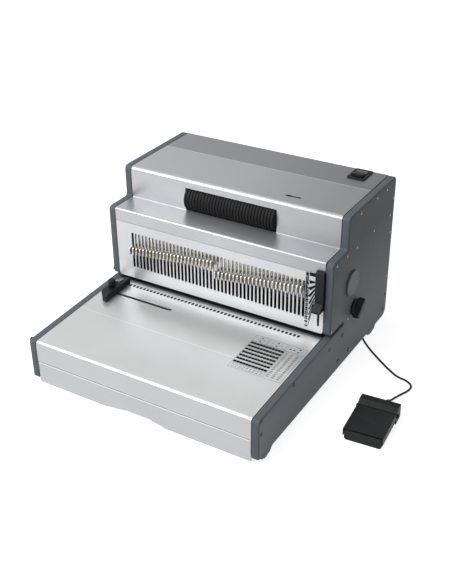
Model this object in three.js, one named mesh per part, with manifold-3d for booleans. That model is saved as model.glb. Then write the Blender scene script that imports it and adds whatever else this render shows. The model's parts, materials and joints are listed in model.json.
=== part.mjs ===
// Coil binding machine: a desk-top coil punch and coil inserter with a foot pedal.
// Millimetres, +Z up. X runs across the machine, -Y is the front, Z = 0 is the floor.
// The outlines are drawn with Y = 0 at the front face and X = 0 half way between the side panels.
// The last lines move the whole object so that its origin is the middle of its footprint.

import * as THREE from 'three';
import { mergeVertices } from 'three/addons/utils/BufferGeometryUtils.js';
import ManifoldModule from 'manifold-3d';

const wasm = await ManifoldModule();
wasm.setup();

// Overall sizes
const sideRoom = 39.775; // from the comb to the outside of a panel
const housingDepth = 212; // from the housing front to the rear
const standHeight = 8; // underside of the panels above the floor
const tableFrontHeight = 71;
const tableRise = 7; // from the front edge to the housing
const housingFront = 204; // front face of the punch housing
const ledgeDepth = 46; // from the housing front to the roller housing
const housingRise = 115; // from the throat up to the ledge
const rollerRise = 50; // from the ledge up to the top
const throatGap = 5; // height of the paper slit
const throatDepth = 45;

// Clearances
const seatGap = 0.3; // between a piece and what it is fixed to
const runningGap = 0.2; // round shafts and rods that turn or slide
const slideGap = 0.5; // beside flat pieces that slide
const overrun = 4; // how far a cutter passes the face it opens
const fuseDepth = 1; // how far joined solids reach into each other

// Fineness of round shapes
const filletSteps = 3;
const chamferSteps = 1;
const smallSides = 6;
const roundSides = 16;
const fineSides = 20;
const rollerSides = 14;

// Side panels
const panelThickness = 12;
const panelChamfer = 1.4;
const panelFrontRadius = 6;
const panelBottomRadius = 1.5;
const panelRearRadius = 12;
const panelTopRadius = 7;
const panelLedgeRadius = 4;
const panelSlitRadius = 1;
const panelLipRadius = 3;
const footDrop = 6.5; // the feet of the panels reach this far below their edge
const footFrontStart = 6;
const footFrontEnd = 36;
const footRearLength = 31;
const footRearMargin = 39; // from the rear foot to the rear edge
const footSlope = 5;
const footRadius = 5;
const footPadInset = 1;

// Side cap in the right panel
const capRadius = 20;
const capProud = 3;
const capPlugRadius = 18;
const capRim = 1.2;
const capInset = 65; // behind the housing front
const capShare = 55 / 115; // of the housing rise

// Table plate
const tableThickness = 2;
const tableInset = 0.4; // behind the front faces of the panels
const tableEdgeRadius = 6;
const apronBottom = 37.2;
const guideSlotAhead = 43; // in front of the housing
const guideSlotWidth = 4.8;

// Chip drawer
const drawerFrontThickness = 3;
const drawerFrontBottom = 1.5;
const drawerSeam = 1;
const drawerSideGap = 0.6;
const gripLeft = -59;
const gripFlatLeft = -19;
const gripFlatRight = 16;
const gripRight = 44;
const gripRise = 6;
const gripRadius = 5;
const traySide = 19; // from a side of the tray to the outside of the panel
const trayInset = 48; // rear of the tray behind the housing front
const trayHeight = 24;
const trayWall = 1.2;

// Base pan
const panThickness = 1.5;
const panFlange = 12;
const panFrontInset = 5;

// Covers
const coverThickness = 1.5;
const coverInset = 0.2; // behind the edges of the panels
const seamShare = 94.4 / 115; // height of the seam across the housing front, of the housing rise
const coverSeamGap = 0.4;
const coverRearFlange = 12;
const coverTopRadius = 7; // bend at the top front edge
const coverEdgeRadius = 3; // bend at the front edge of the ledge
const coverCreaseRadius = 1; // hollow bend behind the ledge
const coverRearRadius = 5;
const rearCoverThickness = 2;
const ventCount = 10;
const ventPitch = 12;
const ventWidth = 3.2;
const ventHeight = 34;
const ventZ = 150;

// Roller opening and roller
const rollerOpeningLeft = -78;
const rollerOpeningRight = 76;
const rollerOpeningShare = 36 / 50; // of the roller rise
const rollerOpeningRadius = 1;
const rollerShare = 20 / 50; // radius over the roller rise
const rollerBulge = 8.5; // the roller stands this far out of the upper front
const rollerFloat = 2; // roller's lowest line below the ledge
const rollerEndGap = 1.2;
const rollerRibs = 20;
const rollerRibDepth = 1.3;
const rollerShaftRadius = 4;
const rollerPulleyRadius = 6.9;
const motorPulleyRadius = 4.6;
const pulleyWidth = 6.5;
const pulleyOffset = 3;
const beltThickness = 1.6;
const beltInset = 1;
const rollerMotorRadius = 17;
const rollerMotorLength = 56;
const rollerMotorSpan = 53.5; // from the roller's axis back to the motor's
const rollerMotorShaftRadius = 3;
const bracketThickness = 2.5;
const bracketClearance = 3.5;
const bracketFlange = 14;
const bracketFoot = 24;
const bracketReach = 13;

// Punch comb
const pinCount = 47;
const pinPitch = 6.35;
const combCentre = -1;
const combRunCount = 24; // pins in the first sawtooth run
const combRiseShare = 15.8 / 115; // from the lowest to the highest pin of a run, of the housing rise
const slotWidth = 3.6;
const slotDrop = 1.6; // lower end of a slot below the top of the guide block
const slotHead = 6.9; // upper end of a slot above the highest stem
const slotEndSteps = 3;
const frontCoverThickness = 2;
const frontCoverRadius = 4;
const knobProud = 10.4;
const knobDepth = 4.6;
const knobAbove = 1.6; // knob's top above its stem
const knobBelow = 2.8; // knob's foot below its stem
const knobRadius = 1.4;
const selectorThickness = 2.4;
const stemHeight = 8;
const stemLift = 9.8; // top of the lowest stem above the holder's foot
const punchRadius = 2;
const punchInset = 38; // behind the housing front
const punchTipLift = 1.2; // lowest tip above the throat
const strokeShare = 24 / 115; // of the housing rise
const holderInset = 6; // behind the housing front
const holderBehind = 8; // holder behind the punches' centres
const holderRoom = 2; // left under the holder at the end of its stroke
const holderHeight = 38;
const holderMargin = 1.5;
const holderChamfer = 2;
const pocketWall = 6; // left behind the pull-out selectors
const guideBlockInset = 5.5; // behind the housing front
const guideBlockDepth = 52.5;
const guideBlockShare = 21 / 115; // height of the guide block, of the housing rise
const dieThickness = 12;
const looseCount = 2; // selectors at each end of the comb that slide by themselves

// Ram beam, its columns and yokes
const ramSide = 17; // from the end of the ram to the outside of the panel
const ramBottomShare = 57 / 115; // of the housing rise
const ramTopShare = 97 / 115;
const ramBarDepth = 10;
const ramEndWidth = 20;
const ramEndInset = 12; // behind the housing front
const columnRadius = 8;
const columnSide = 27; // from a column to the outside of the panel
const columnInset = 28; // behind the housing front
const columnShare = 110 / 115; // of the housing rise
const yokeThickness = 7;
const yokeSide = 32; // from a yoke to the outside of the panel
const yokeMargin = 5;

// Crank shaft and its drive
const crankInset = 90; // behind the housing front
const crankShare = 67 / 115; // of the housing rise
const crankShaftRadius = 8;
const crankDiscSide = 43; // from a disc to the outside of the panel
const crankDiscThickness = 8;
const crankDiscRadius = 20;
const crankPinRadius = 6;
const crankPinLength = 10;
const crankFreePlay = 2.9; // opens the yoke, because the ram's travel is taken as steady
const pedestalSide = 71; // from a pedestal to the outside of the panel
const pedestalThickness = 8;
const pedestalFootReach = 20;
const pedestalHeadReach = 14;
const pedestalHeadRise = 15;
const pedestalHeadRadius = 10;
const pedestalFlange = 14;
const pedestalFlangeHeight = 4;
const gearToothSize = 2.5;
const crankTeeth = 24;
const pinionTeeth = 12;
const gearWidth = 10;
const gearOffset = 14; // from the left pedestal to the wheel
const gearBacklash = 0.35;
const pinionShaftRadius = 5;
const motorBracketGap = 4; // from the wheel to the bracket
const motorBracketThickness = 3;
const motorBracketFootReach = 30;
const motorBracketHeadReach = 24;
const motorBracketRise = 32;
const gearboxReach = 27;
const gearboxLength = 36;
const gearboxRadius = 6;
const driveMotorRadius = 25;
const driveMotorLength = 68;
const driveMotorCapRadius = 18;
const driveMotorCapLength = 6;

// Back stop and margin knob
const stopThickness = 4.2;
const stopTravel = 3.5;
const stopSide = 39; // from the stop to the outside of the panel
const stopTabWidth = 40;
const stopTabSide = 17; // from the tab to the outside of the panel
const stopTabThickness = 4.2;
const stopTabHeight = 20;
const marginInset = 79; // behind the housing front
const marginRise = 8; // above the throat
const marginTurn = 90; // degrees
const marginShaftRadius = 4;
const marginHubRadius = 13;
const marginHubThickness = 4;
const marginBarLength = 32;
const marginBarWidth = 10;
const marginBarThickness = 9;
const marginBarTilt = 41; // degrees, from straight ahead to straight down
const marginBarRadius = 4;
const camSide = 29; // from the cam to the outside of the panel
const camThickness = 10;
const camRadius = 10.5;

// Coil and thickness gauge
const gaugeSide = 18; // from the gauge to the outside of the panel
const gaugeWidth = 13;
const gaugeTopShare = 102 / 115; // of the housing rise
const gaugeBottomShare = 39.5 / 115;
const gaugeThickness = 5.1;
const gaugeFaceGap = 0.6;
const gaugeLip = 9.5;
const gaugeLipHeight = 3.5;
const gaugeLipRise = 8;
const gaugeCorner = 2;
const gaugeSlotWidth = 3.2;
const gaugeTravelShare = 31 / 115;
const gaugeStemWidth = 2.6;
const gaugeStemHeight = 8;
const gaugeStemOffset = -2;
const gaugePlateWidth = 10;
const gaugePlateHeight = 16;
const gaugePlateThickness = 2.4;

// Side guide
const guideSide = 29; // from the screw to the outside of the panel
const guideFence = 10.5; // from the screw to the fence's working face
const guideFenceWidth = 7.5;
const guideFenceAhead = 29; // in front of the screw
const guideFenceBehind = 33;
const guideHeight = 10;
const guideBlockSide = 7;
const guideBlockAhead = 18;
const guideBlockBehind = 17;
const guideRadius = 3;
const guideTravel = 106;
const guideScrewRadius = 1.9;
const guideKnobRadius = 6;
const guideKnobHeight = 11;
const guideKnobRound = 2;
const guideNutReach = 8;
const guideNutThickness = 5;

// Power switch
const switchSide = 48.5; // from the switch to the outside of the panel
const switchMargin = 25; // from the switch to the rear
const switchBezelWidth = 28;
const switchBezelDepth = 36;
const switchBezelHeight = 2;
const switchBodyWidth = 23;
const switchBodyDepth = 30;
const switchBodyHeight = 20;
const switchWellWidth = 19;
const switchWellReach = 13.4;
const switchWellDepth = 13;
const rockerReach = 12;
const rockerPivotDrop = 4; // below the bezel's top
const rockerEndRise = 7;
const rockerMiddleRise = 4.5;
const rockerKeel = 7;
const rockerShoulder = 1;
const rockerTilt = 7; // degrees, each way from level
const rockerSideGap = 0.35;

// Rear fittings and electrics
const inletSide = 69; // from the inlet to the outside of the panel
const inletZ = 42;
const inletWidth = 27;
const inletHeight = 20;
const inletDepth = 18;
const inletFlange = 2.5;
const inletFlangeThickness = 2;
const inletWell = 14;
const inletWellWidth = 22;
const inletWellHeight = 15;
const inletWellRadius = 3;
const inletPinWidth = 2;
const inletPinHeight = 4;
const inletPinLength = 11;
const inletPinSpread = 7;
const glandZ = 18;
const glandRadius = 5.6;
const glandFlangeRadius = 9;
const glandFlangeThickness = 3;
const glandSleeveRadius = 4;
const glandTipRadius = 2.6;
const glandSleeveLength = 12;
const boardWidth = 112;
const boardSide = 47; // from the board to the outside of the panel
const boardGap = 16; // behind the crank's pedestals
const boardMargin = 14; // from the board to the rear
const boardThickness = 1.6;
const boardPostHeight = 12;
const boardPostRadius = 3;
const boardPostInset = 6;
const transformerWidth = 34;
const transformerDepth = 30;
const transformerHeight = 26;
const relayWidth = 15;
const relayDepth = 18;
const relayHeight = 15;
const relayPitch = 20;
const boardPartInset = 10;
const capacitorX = -30;
const capacitorMargin = 32; // from the capacitor to the rear
const capacitorRadius = 17;
const capacitorHeight = 66;
const capacitorRim = 2;

// Foot pedal, drawn from its own front left corner
const pedalGap = 69.3; // between the machine and the pedal's own corner
const pedalY = 103.3;
const pedalTurn = 4.5; // degrees
const pedalWidth = 56;
const pedalLength = 78;
const pedalRearHeight = 24;
const pedalFrontHeight = 18;
const pedalPlateRearHeight = 19.6;
const pedalPlateLength = 57.4;
const pedalWall = 1.5;
const pedalSkirtBottom = 7;
const pedalSkirtLength = 50;
const pedalSideGap = 0.7; // between the base and the side walls of the plate
const pedalFrontWall = 1.6;
const pedalFrontWallHeight = 16.6;
const pedalFrontGap = 1.1; // between the front wall and the plate
const pedalLipBottom = 12.6; // lower edge of the plate's front lip
const pedalBaseThickness = 4.5;
const pedalSoleThickness = 1.2;
const pedalSoleInset = 1;
const pedalHumpGap = 0.8;
const pedalHumpSlope = 8;
const pedalHumpFrontHeight = 19.6;
const pedalHumpRadius = 2;
const pedalHingeY = 62.5;
const pedalHingeZ = 13;
const pedalPinRadius = 2.2;
const pedalPinHeadRadius = 3;
const pedalPinProud = 2.6;
const pedalKnuckleRadius = 4.5;
const pedalKnuckleInset = 12;
const pedalPocketGap = 0.6;
const pedalSwitchWidth = 12;
const pedalSwitchLength = 20;
const pedalSwitchHeight = 5.6;
const pedalSwitchY = 26;
const pedalPlungerRadius = 1.6;
const pedalPlungerRise = 1.4;
const springY = 14;
const springRadius = 4;
const springWire = 0.5;
const springTurns = 4;
const springSteps = 8;
const springSides = 5;
const reliefX = 31;
const reliefZ = 9;
const reliefRadius = 4;
const reliefTipRadius = 2.4;
const reliefLength = 13;

// Pedal cord
const cordDiameter = 3.2;
const cordLift = 0.15; // the cord's underside above the floor
const cordSides = 8;
const cordStepShare = 3; // length of one step over the diameter
const coilTurns = 9.5;
const coilOuterRadius = 26.5;
const coilGap = 0.5; // between one turn and the next
const coilSteps = 18;
const coilSides = 6;
const coilX = 92;
const coilBehind = 46; // behind the rear of the machine
const coilClimbShare = 0.5; // turns taken to climb a layer

// Colours
const panelColour = 0x5d666b;
const aluminiumColour = 0xc9cacc;
const steelColour = 0x9a9c9e;
const darkSteelColour = 0x55585b;
const nickelColour = 0xd8d3c6;
const castColour = 0x6b6e70;
const blackColour = 0x17181a;
const rubberColour = 0x1c1c1d;
const brassColour = 0xb08d4a;
const boardColour = 0x1f5a3a;

// Derived places
const tableRearHeight = tableFrontHeight + tableRise;
const machineWidth = pinCount * pinPitch + 2 * sideRoom;
const machineDepth = housingFront + housingDepth;
const upperFront = housingFront + ledgeDepth;
const halfWidth = machineWidth / 2;
const innerX = halfWidth - panelThickness;
const fitX = innerX - seatGap;
const throatTop = tableRearHeight + throatGap;
const ledgeHeight = throatTop + housingRise;
const topHeight = ledgeHeight + rollerRise;
const footRearEnd = machineDepth - footRearMargin;
const footRearStart = footRearEnd - footRearLength;
const capY = housingFront + capInset;
const capZ = throatTop + housingRise * capShare;
const guideSlotY = housingFront - guideSlotAhead;
const trayHalfWidth = halfWidth - traySide;
const trayRear = housingFront + trayInset;
const coverSeam = throatTop + housingRise * seamShare;
const rollerOpeningTop = ledgeHeight + rollerRise * rollerOpeningShare;
const rollerRadius = rollerRise * rollerShare;
const punchStroke = housingRise * strokeShare;
const combRise = housingRise * combRiseShare;
const guideBlockFront = housingFront + guideBlockInset;
const guideBlockRear = guideBlockFront + guideBlockDepth;
const guideBlockTop = throatTop + housingRise * guideBlockShare;
const slotBottom = guideBlockTop - slotDrop;
const holderFront = housingFront + holderInset;
const holderBottom = guideBlockTop + punchStroke + holderRoom;
const holderTop = holderBottom + holderHeight;
const stemTopLow = holderBottom + stemLift;
const slotTop = stemTopLow + combRise + slotHead;
const punchY = housingFront + punchInset;
const ramWidth = machineWidth - 2 * ramSide;
const ramBottom = throatTop + housingRise * ramBottomShare;
const ramTop = throatTop + housingRise * ramTopShare;
const ramEndFront = housingFront + ramEndInset;
const columnX = halfWidth - columnSide;
const columnY = housingFront + columnInset;
const columnTop = throatTop + housingRise * columnShare;
const yokeInner = halfWidth - yokeSide;
const crankY = housingFront + crankInset;
const crankZ = throatTop + housingRise * crankShare;
const crankDiscInner = halfWidth - crankDiscSide;
const pedestalX = halfWidth - pedestalSide;
const gearX = gearOffset - pedestalX;
const motorBracketX = gearX + gearWidth + motorBracketGap;
const stopHalfWidth = halfWidth - stopSide;
const stopTabRight = halfWidth - stopTabSide;
const stopTabLeft = stopTabRight - stopTabWidth;
const marginY = housingFront + marginInset;
const marginZ = throatTop + marginRise;
const camX = halfWidth - camSide;
const gaugeX = halfWidth - gaugeSide;
const gaugeTop = throatTop + housingRise * gaugeTopShare;
const gaugeBottom = throatTop + housingRise * gaugeBottomShare;
const gaugeTravel = housingRise * gaugeTravelShare;
const guideX = guideSide - halfWidth;
const guideFenceFront = guideSlotY - guideFenceAhead;
const guideFenceRear = guideSlotY + guideFenceBehind;
const guideBlockFrontY = guideSlotY - guideBlockAhead;
const guideBlockRearY = guideSlotY + guideBlockBehind;
const switchX = halfWidth - switchSide;
const switchY = machineDepth - switchMargin;
const inletX = inletSide - halfWidth;
const boardRight = halfWidth - boardSide;
const boardLeft = boardRight - boardWidth;
const boardFront = crankY + pedestalFootReach + boardGap;
const boardRear = machineDepth - boardMargin;
const capacitorY = machineDepth - capacitorMargin;
const pedalX = halfWidth + pedalGap;
const coilY = machineDepth + coilBehind;
const panTop = standHeight + panThickness;
const panelRear = machineDepth;
const coverFace = housingFront + coverInset;
const rearCoverRear = machineDepth - coverInset - coverThickness - seatGap;
const rearCoverFront = rearCoverRear - rearCoverThickness;
const rollerY = upperFront - rollerBulge + rollerRadius;
const rollerZ = ledgeHeight - rollerFloat + rollerRadius;
const rollerLeft = rollerOpeningLeft + rollerEndGap;
const rollerRight = rollerOpeningRight - rollerEndGap;
const knobFront = housingFront - knobProud;
const holderRear = punchY + holderBehind;
const pocketEnd = holderRear - pocketWall;
const ramFront = holderRear + seatGap;
const crankThrow = punchStroke / 2;
const stopRest = housingFront + throatDepth - slideGap;
const gearCentres = gearToothSize * (crankTeeth + pinionTeeth) / 2 + gearBacklash;
const pinionY = crankY + gearCentres;
const rollerMotorY = rollerY + rollerMotorSpan;
const gaugeStemZ = gaugeBottom + gaugeStemHeight;
const tableTopAt = (y) => tableFrontHeight + tableRise * y / housingFront;
const pinX = (k) => combCentre + (k - (pinCount + 1) / 2) * pinPitch;
const pinRise = (k) => {
  const run = k <= combRunCount ? combRunCount : pinCount - combRunCount;
  const place = k <= combRunCount ? k - 1 : k - combRunCount - 1;
  return combRise * place / (run - 1);
};
const isLoose = (k) => k <= looseCount || k > pinCount - looseCount;
const radians = (degrees) => THREE.MathUtils.degToRad(degrees);

// Outline helpers
// A corner is [across, up, fillet radius]; the fillet may be left out.
function rounded(corners, steps = filletSteps) {
  const points = [];
  const count = corners.length;
  corners.forEach(([across, up, radius = 0], i) => {
    const here = new THREE.Vector2(across, up);
    if (radius <= 0) {
      points.push(here);
      return;
    }
    const before = corners[(i + count - 1) % count];
    const after = corners[(i + 1) % count];
    const back = new THREE.Vector2(before[0], before[1]).sub(here);
    const on = new THREE.Vector2(after[0], after[1]).sub(here);
    const room = Math.min(back.length(), on.length()) / 2;
    back.normalize();
    on.normalize();
    const half = Math.acos(THREE.MathUtils.clamp(back.dot(on), -1, 1)) / 2;
    const cut = Math.min(radius / Math.tan(half), room);
    const r = cut * Math.tan(half);
    const centre = back.clone().add(on).normalize().multiplyScalar(r / Math.sin(half)).add(here);
    const from = back.multiplyScalar(cut).add(here).sub(centre).angle();
    const to = on.multiplyScalar(cut).add(here).sub(centre).angle();
    const sweep = Math.atan2(Math.sin(to - from), Math.cos(to - from));
    for (let k = 0; k <= steps; k += 1) {
      const a = from + sweep * k / steps;
      points.push(new THREE.Vector2(centre.x + r * Math.cos(a), centre.y + r * Math.sin(a)));
    }
  });
  return points;
}

function rectangle(left, right, low, high, radius = 0, steps = filletSteps) {
  return rounded([
    [left, low, radius], [right, low, radius], [right, high, radius], [left, high, radius],
  ], steps);
}

function circle(across, up, radius, sides = roundSides) {
  return Array.from({ length: sides }, (_, k) => {
    const a = 2 * Math.PI * (k + 0.5) / sides;
    return new THREE.Vector2(across + radius * Math.cos(a), up + radius * Math.sin(a));
  });
}

// A slot with round ends that stands upright
function uprightSlot(across, low, high, width, steps) {
  const r = width / 2;
  const points = [];
  for (let k = 0; k <= steps; k += 1) {
    const a = Math.PI * k / steps;
    points.push(new THREE.Vector2(across + r * Math.cos(a), high - r + r * Math.sin(a)));
  }
  for (let k = 0; k <= steps; k += 1) {
    const a = Math.PI * (1 + k / steps);
    points.push(new THREE.Vector2(across + r * Math.cos(a), low + r + r * Math.sin(a)));
  }
  return points;
}

// Solids drawn as an outline that is pushed along one axis
function prism(points, depth, holes = [], bevel = 0) {
  const shape = new THREE.Shape(points);
  holes.forEach((hole) => shape.holes.push(new THREE.Path(hole)));
  return new THREE.ExtrudeGeometry(shape, {
    depth: depth - 2 * bevel,
    bevelEnabled: bevel > 0,
    bevelThickness: bevel,
    bevelSize: bevel,
    bevelOffset: -bevel,
    bevelSegments: 1,
  }).translate(0, 0, bevel);
}

const swapToX = new THREE.Matrix4().set(0, 0, 1, 0, 1, 0, 0, 0, 0, 1, 0, 0, 0, 0, 0, 1);
const swapToY = new THREE.Matrix4().set(1, 0, 0, 0, 0, 0, -1, 0, 0, 1, 0, 0, 0, 0, 0, 1);

// The outline is in Y and Z
function alongX(points, from, to, holes = [], bevel = 0) {
  return prism(points, to - from, holes, bevel).applyMatrix4(swapToX).translate(from, 0, 0);
}

// The outline is in X and Z
function alongY(points, from, to, holes = []) {
  return prism(points, to - from, holes).applyMatrix4(swapToY).translate(0, to, 0);
}

// The outline is in X and Y
function alongZ(points, from, to, holes = []) {
  return prism(points, to - from, holes).translate(0, 0, from);
}

function block(x0, x1, y0, y1, z0, z1) {
  const box = new THREE.BoxGeometry(x1 - x0, y1 - y0, z1 - z0);
  return box.translate((x0 + x1) / 2, (y0 + y1) / 2, (z0 + z1) / 2);
}

// A turned piece: the profile is [radius, place along the axis] and starts and ends on the axis
function turned(profile, sides, axis) {
  const points = profile.map(([r, along]) => new THREE.Vector2(r, along));
  const piece = new THREE.LatheGeometry(points, sides);
  if (axis === 'x') piece.rotateZ(-Math.PI / 2);
  if (axis === 'y') piece.rotateX(0);
  if (axis === 'z') piece.rotateX(Math.PI / 2);
  return piece;
}

// Joins and cuts
function weld(geometry) {
  const piece = geometry.clone();
  piece.deleteAttribute('normal');
  piece.deleteAttribute('uv');
  return mergeVertices(piece);
}

function solid(geometry) {
  const piece = weld(geometry);
  const triangles = [];
  const index = piece.index.array;
  for (let k = 0; k < index.length; k += 3) {
    const [a, b, c] = [index[k], index[k + 1], index[k + 2]];
    if (a !== b && b !== c && c !== a) triangles.push(a, b, c);
  }
  return new wasm.Manifold(new wasm.Mesh({
    numProp: 3,
    vertProperties: new Float32Array(piece.attributes.position.array),
    triVerts: new Uint32Array(triangles),
  }));
}

function geometryOf(body) {
  const mesh = body.getMesh();
  const geometry = new THREE.BufferGeometry();
  geometry.setAttribute('position', new THREE.BufferAttribute(new Float32Array(mesh.vertProperties), 3));
  geometry.setIndex(new THREE.BufferAttribute(new Uint32Array(mesh.triVerts), 1));
  geometry.computeVertexNormals();
  return geometry;
}

function joined(pieces) {
  let layer = pieces.map((piece) => (piece.isBufferGeometry ? solid(piece) : piece));
  while (layer.length > 1) {
    const next = [];
    for (let k = 0; k < layer.length; k += 2) {
      next.push(k + 1 < layer.length ? layer[k].add(layer[k + 1]) : layer[k]);
    }
    layer = next;
  }
  return layer[0];
}

function cut(body, cutters) {
  const start = body.isBufferGeometry ? solid(body) : body;
  return start.subtract(joined(cutters));
}

// The scene graph
const machine = new THREE.Group();
const pedal = new THREE.Group();
pedal.position.set(pedalX, pedalY, 0);
pedal.rotation.z = radians(pedalTurn);
machine.add(pedal);
const cordMeshes = [];

function place(name, piece, colour, roughness, metalness, parent = machine) {
  const geometry = piece.isBufferGeometry ? piece : geometryOf(piece);
  const material = new THREE.MeshStandardMaterial({ color: colour, roughness, metalness });
  const mesh = new THREE.Mesh(geometry, material);
  mesh.name = name;
  parent.add(mesh);
  return mesh;
}

// Side panels: one stepped outline with the paper slit and two feet
function panelOutline() {
  const footBottom = standHeight - footDrop;
  return rounded([
    [0, standHeight, panelBottomRadius],
    [0, tableFrontHeight, panelFrontRadius],
    [housingFront, tableRearHeight],
    [housingFront + throatDepth, tableRearHeight, panelSlitRadius],
    [housingFront + throatDepth, throatTop, panelSlitRadius],
    [housingFront, throatTop, panelLipRadius],
    [housingFront, ledgeHeight, panelTopRadius],
    [upperFront, ledgeHeight, panelLedgeRadius],
    [upperFront, topHeight, panelTopRadius],
    [panelRear, topHeight, panelTopRadius],
    [panelRear, standHeight, panelRearRadius],
    [footRearEnd, standHeight, footRadius],
    [footRearEnd - footSlope, footBottom, footRadius],
    [footRearStart + footSlope, footBottom, footRadius],
    [footRearStart, standHeight, footRadius],
    [footFrontEnd, standHeight, footRadius],
    [footFrontEnd - footSlope, footBottom, footRadius],
    [footFrontStart + footSlope, footBottom, footRadius],
    [footFrontStart, standHeight, footRadius],
  ]);
}

const panel = panelOutline();
place('side_panel_left', alongX(panel, -halfWidth, -innerX, [], panelChamfer), panelColour, 0.55, 0.35);
place('side_panel_right', cut(alongX(panel, innerX, halfWidth, [], panelChamfer), [
  alongX(circle(capY, capZ, capPlugRadius + seatGap, fineSides), innerX - overrun, halfWidth + overrun),
  alongX(circle(marginY, marginZ, marginShaftRadius + runningGap), innerX - overrun, halfWidth + overrun),
]), panelColour, 0.55, 0.35);

place('side_cap', joined([
  turned([
    [0, halfWidth + seatGap], [capRadius, halfWidth + seatGap],
    [capRadius, halfWidth + capProud - capRim], [capRadius - capRim, halfWidth + capProud],
    [0, halfWidth + capProud],
  ], fineSides, 'x').translate(0, capY, capZ),
  alongX(circle(capY, capZ, capPlugRadius, fineSides), innerX + seatGap, halfWidth + seatGap + fuseDepth),
]), panelColour, 0.5, 0.35);

// Rubber pads under the panels' feet
const feet = [['front', footFrontStart, footFrontEnd], ['rear', footRearStart, footRearEnd]];
for (const [side, sign] of [['left', -1], ['right', 1]]) {
  for (const [end, start, stop] of feet) {
    const x0 = sign * (innerX + footPadInset);
    const x1 = sign * (halfWidth - footPadInset);
    const y0 = start + 2 * footSlope;
    const y1 = stop - 2 * footSlope;
    const top = standHeight - footDrop - seatGap;
    const pad = rectangle(Math.min(x0, x1), Math.max(x0, x1), y0, y1, footPadInset, chamferSteps);
    place(`foot_pad_${end}_${side}`, alongZ(pad, 0, top), rubberColour, 0.9, 0);
  }
}

// Table plate: one bent sheet with a rounded front edge and an apron
const tableEnd = housingFront;
const sheetTop = (y) => tableTopAt(y) - coverInset;
place('table_plate', cut(alongX(rounded([
  [tableInset, apronBottom],
  [tableInset, sheetTop(tableInset), tableEdgeRadius],
  [tableEnd, sheetTop(tableEnd)],
  [tableEnd, sheetTop(tableEnd) - tableThickness],
  [tableInset + tableThickness, sheetTop(tableInset) - tableThickness, tableEdgeRadius - tableThickness],
  [tableInset + tableThickness, apronBottom],
]), -fitX, fitX), [
  alongZ(
    rectangle(
      guideX - guideSlotWidth / 2 - slideGap, guideX + guideTravel + guideSlotWidth / 2 + slideGap,
      guideSlotY - guideSlotWidth / 2, guideSlotY + guideSlotWidth / 2,
      guideSlotWidth / 2,
    ),
    sheetTop(guideSlotY) - tableThickness - overrun,
    sheetTop(guideSlotY) + overrun,
  ),
]), aluminiumColour, 0.35, 0.9);

// Chip drawer: a front with a finger recess and a folded tray behind it
const drawerTop = apronBottom - drawerSeam;
place('chip_drawer_front', alongY(rounded([
  [-innerX + drawerSideGap, drawerFrontBottom],
  [gripLeft, drawerFrontBottom, gripRadius],
  [gripFlatLeft, drawerFrontBottom + gripRise, gripRadius],
  [gripFlatRight, drawerFrontBottom + gripRise, gripRadius],
  [gripRight, drawerFrontBottom, gripRadius],
  [innerX - drawerSideGap, drawerFrontBottom],
  [innerX - drawerSideGap, drawerTop],
  [-innerX + drawerSideGap, drawerTop],
]), tableInset, tableInset + drawerFrontThickness), aluminiumColour, 0.35, 0.9);

const trayFront = tableInset + drawerFrontThickness + seatGap;
const trayBottom = panTop + seatGap;
place('chip_tray', cut(
  block(-trayHalfWidth, trayHalfWidth, trayFront, trayRear, trayBottom, trayBottom + trayHeight),
  [block(
    -trayHalfWidth + trayWall, trayHalfWidth - trayWall, trayFront + trayWall, trayRear - trayWall,
    trayBottom + trayWall, trayBottom + trayHeight + overrun,
  )],
), steelColour, 0.4, 0.8);

// Base pan: a folded sheet with posts for the control board
const panFront = panFrontInset;
const panRear = rearCoverFront - seatGap;
const panOutline = [
  [-fitX, standHeight], [fitX, standHeight], [fitX, standHeight + panFlange],
  [fitX - panThickness, standHeight + panFlange], [fitX - panThickness, panTop],
  [-fitX + panThickness, panTop], [-fitX + panThickness, standHeight + panFlange],
  [-fitX, standHeight + panFlange],
];
const posts = [];
for (const x of [boardLeft + boardPostInset, boardRight - boardPostInset]) {
  for (const y of [boardFront + boardPostInset, boardRear - boardPostInset]) {
    const post = circle(x, y, boardPostRadius, smallSides);
    posts.push(alongZ(post, panTop - panThickness / 2, panTop + boardPostHeight));
  }
}
place('base_pan', joined([alongY(rounded(panOutline), panFront, panRear), ...posts]), steelColour, 0.45, 0.8);

// Top cover: one bent sheet from the seam over the ledge and the top to the rear
const coverRear = machineDepth - coverInset;
const coverSeamLow = coverSeam + coverSeamGap / 2;
const upperFace = upperFront + coverInset;
const coverTop = topHeight - coverInset;
const coverLedge = ledgeHeight - coverInset;
place('top_cover', cut(alongX(rounded([
  [coverFace, coverSeamLow],
  [coverFace, coverLedge, coverEdgeRadius],
  [upperFace, coverLedge, coverCreaseRadius],
  [upperFace, coverTop, coverTopRadius],
  [coverRear, coverTop, coverRearRadius],
  [coverRear, coverTop - coverRearFlange],
  [coverRear - coverThickness, coverTop - coverRearFlange],
  [coverRear - coverThickness, coverTop - coverThickness, coverRearRadius - coverThickness],
  [upperFace + coverThickness, coverTop - coverThickness, coverTopRadius - coverThickness],
  [upperFace + coverThickness, coverLedge - coverThickness, coverCreaseRadius + coverThickness],
  [coverFace + coverThickness, coverLedge - coverThickness, coverEdgeRadius - coverThickness],
  [coverFace + coverThickness, coverSeamLow],
]), -fitX, fitX), [
  alongY(rectangle(
    rollerOpeningLeft, rollerOpeningRight, ledgeHeight, rollerOpeningTop, rollerOpeningRadius,
  ), upperFace - coverCreaseRadius, upperFace + coverThickness + overrun),
  block(
    switchX - switchBodyWidth / 2 - seatGap, switchX + switchBodyWidth / 2 + seatGap,
    switchY - switchBodyDepth / 2 - seatGap, switchY + switchBodyDepth / 2 + seatGap,
    coverTop - coverThickness - overrun, coverTop + overrun,
  ),
]), aluminiumColour, 0.32, 0.9);

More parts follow.
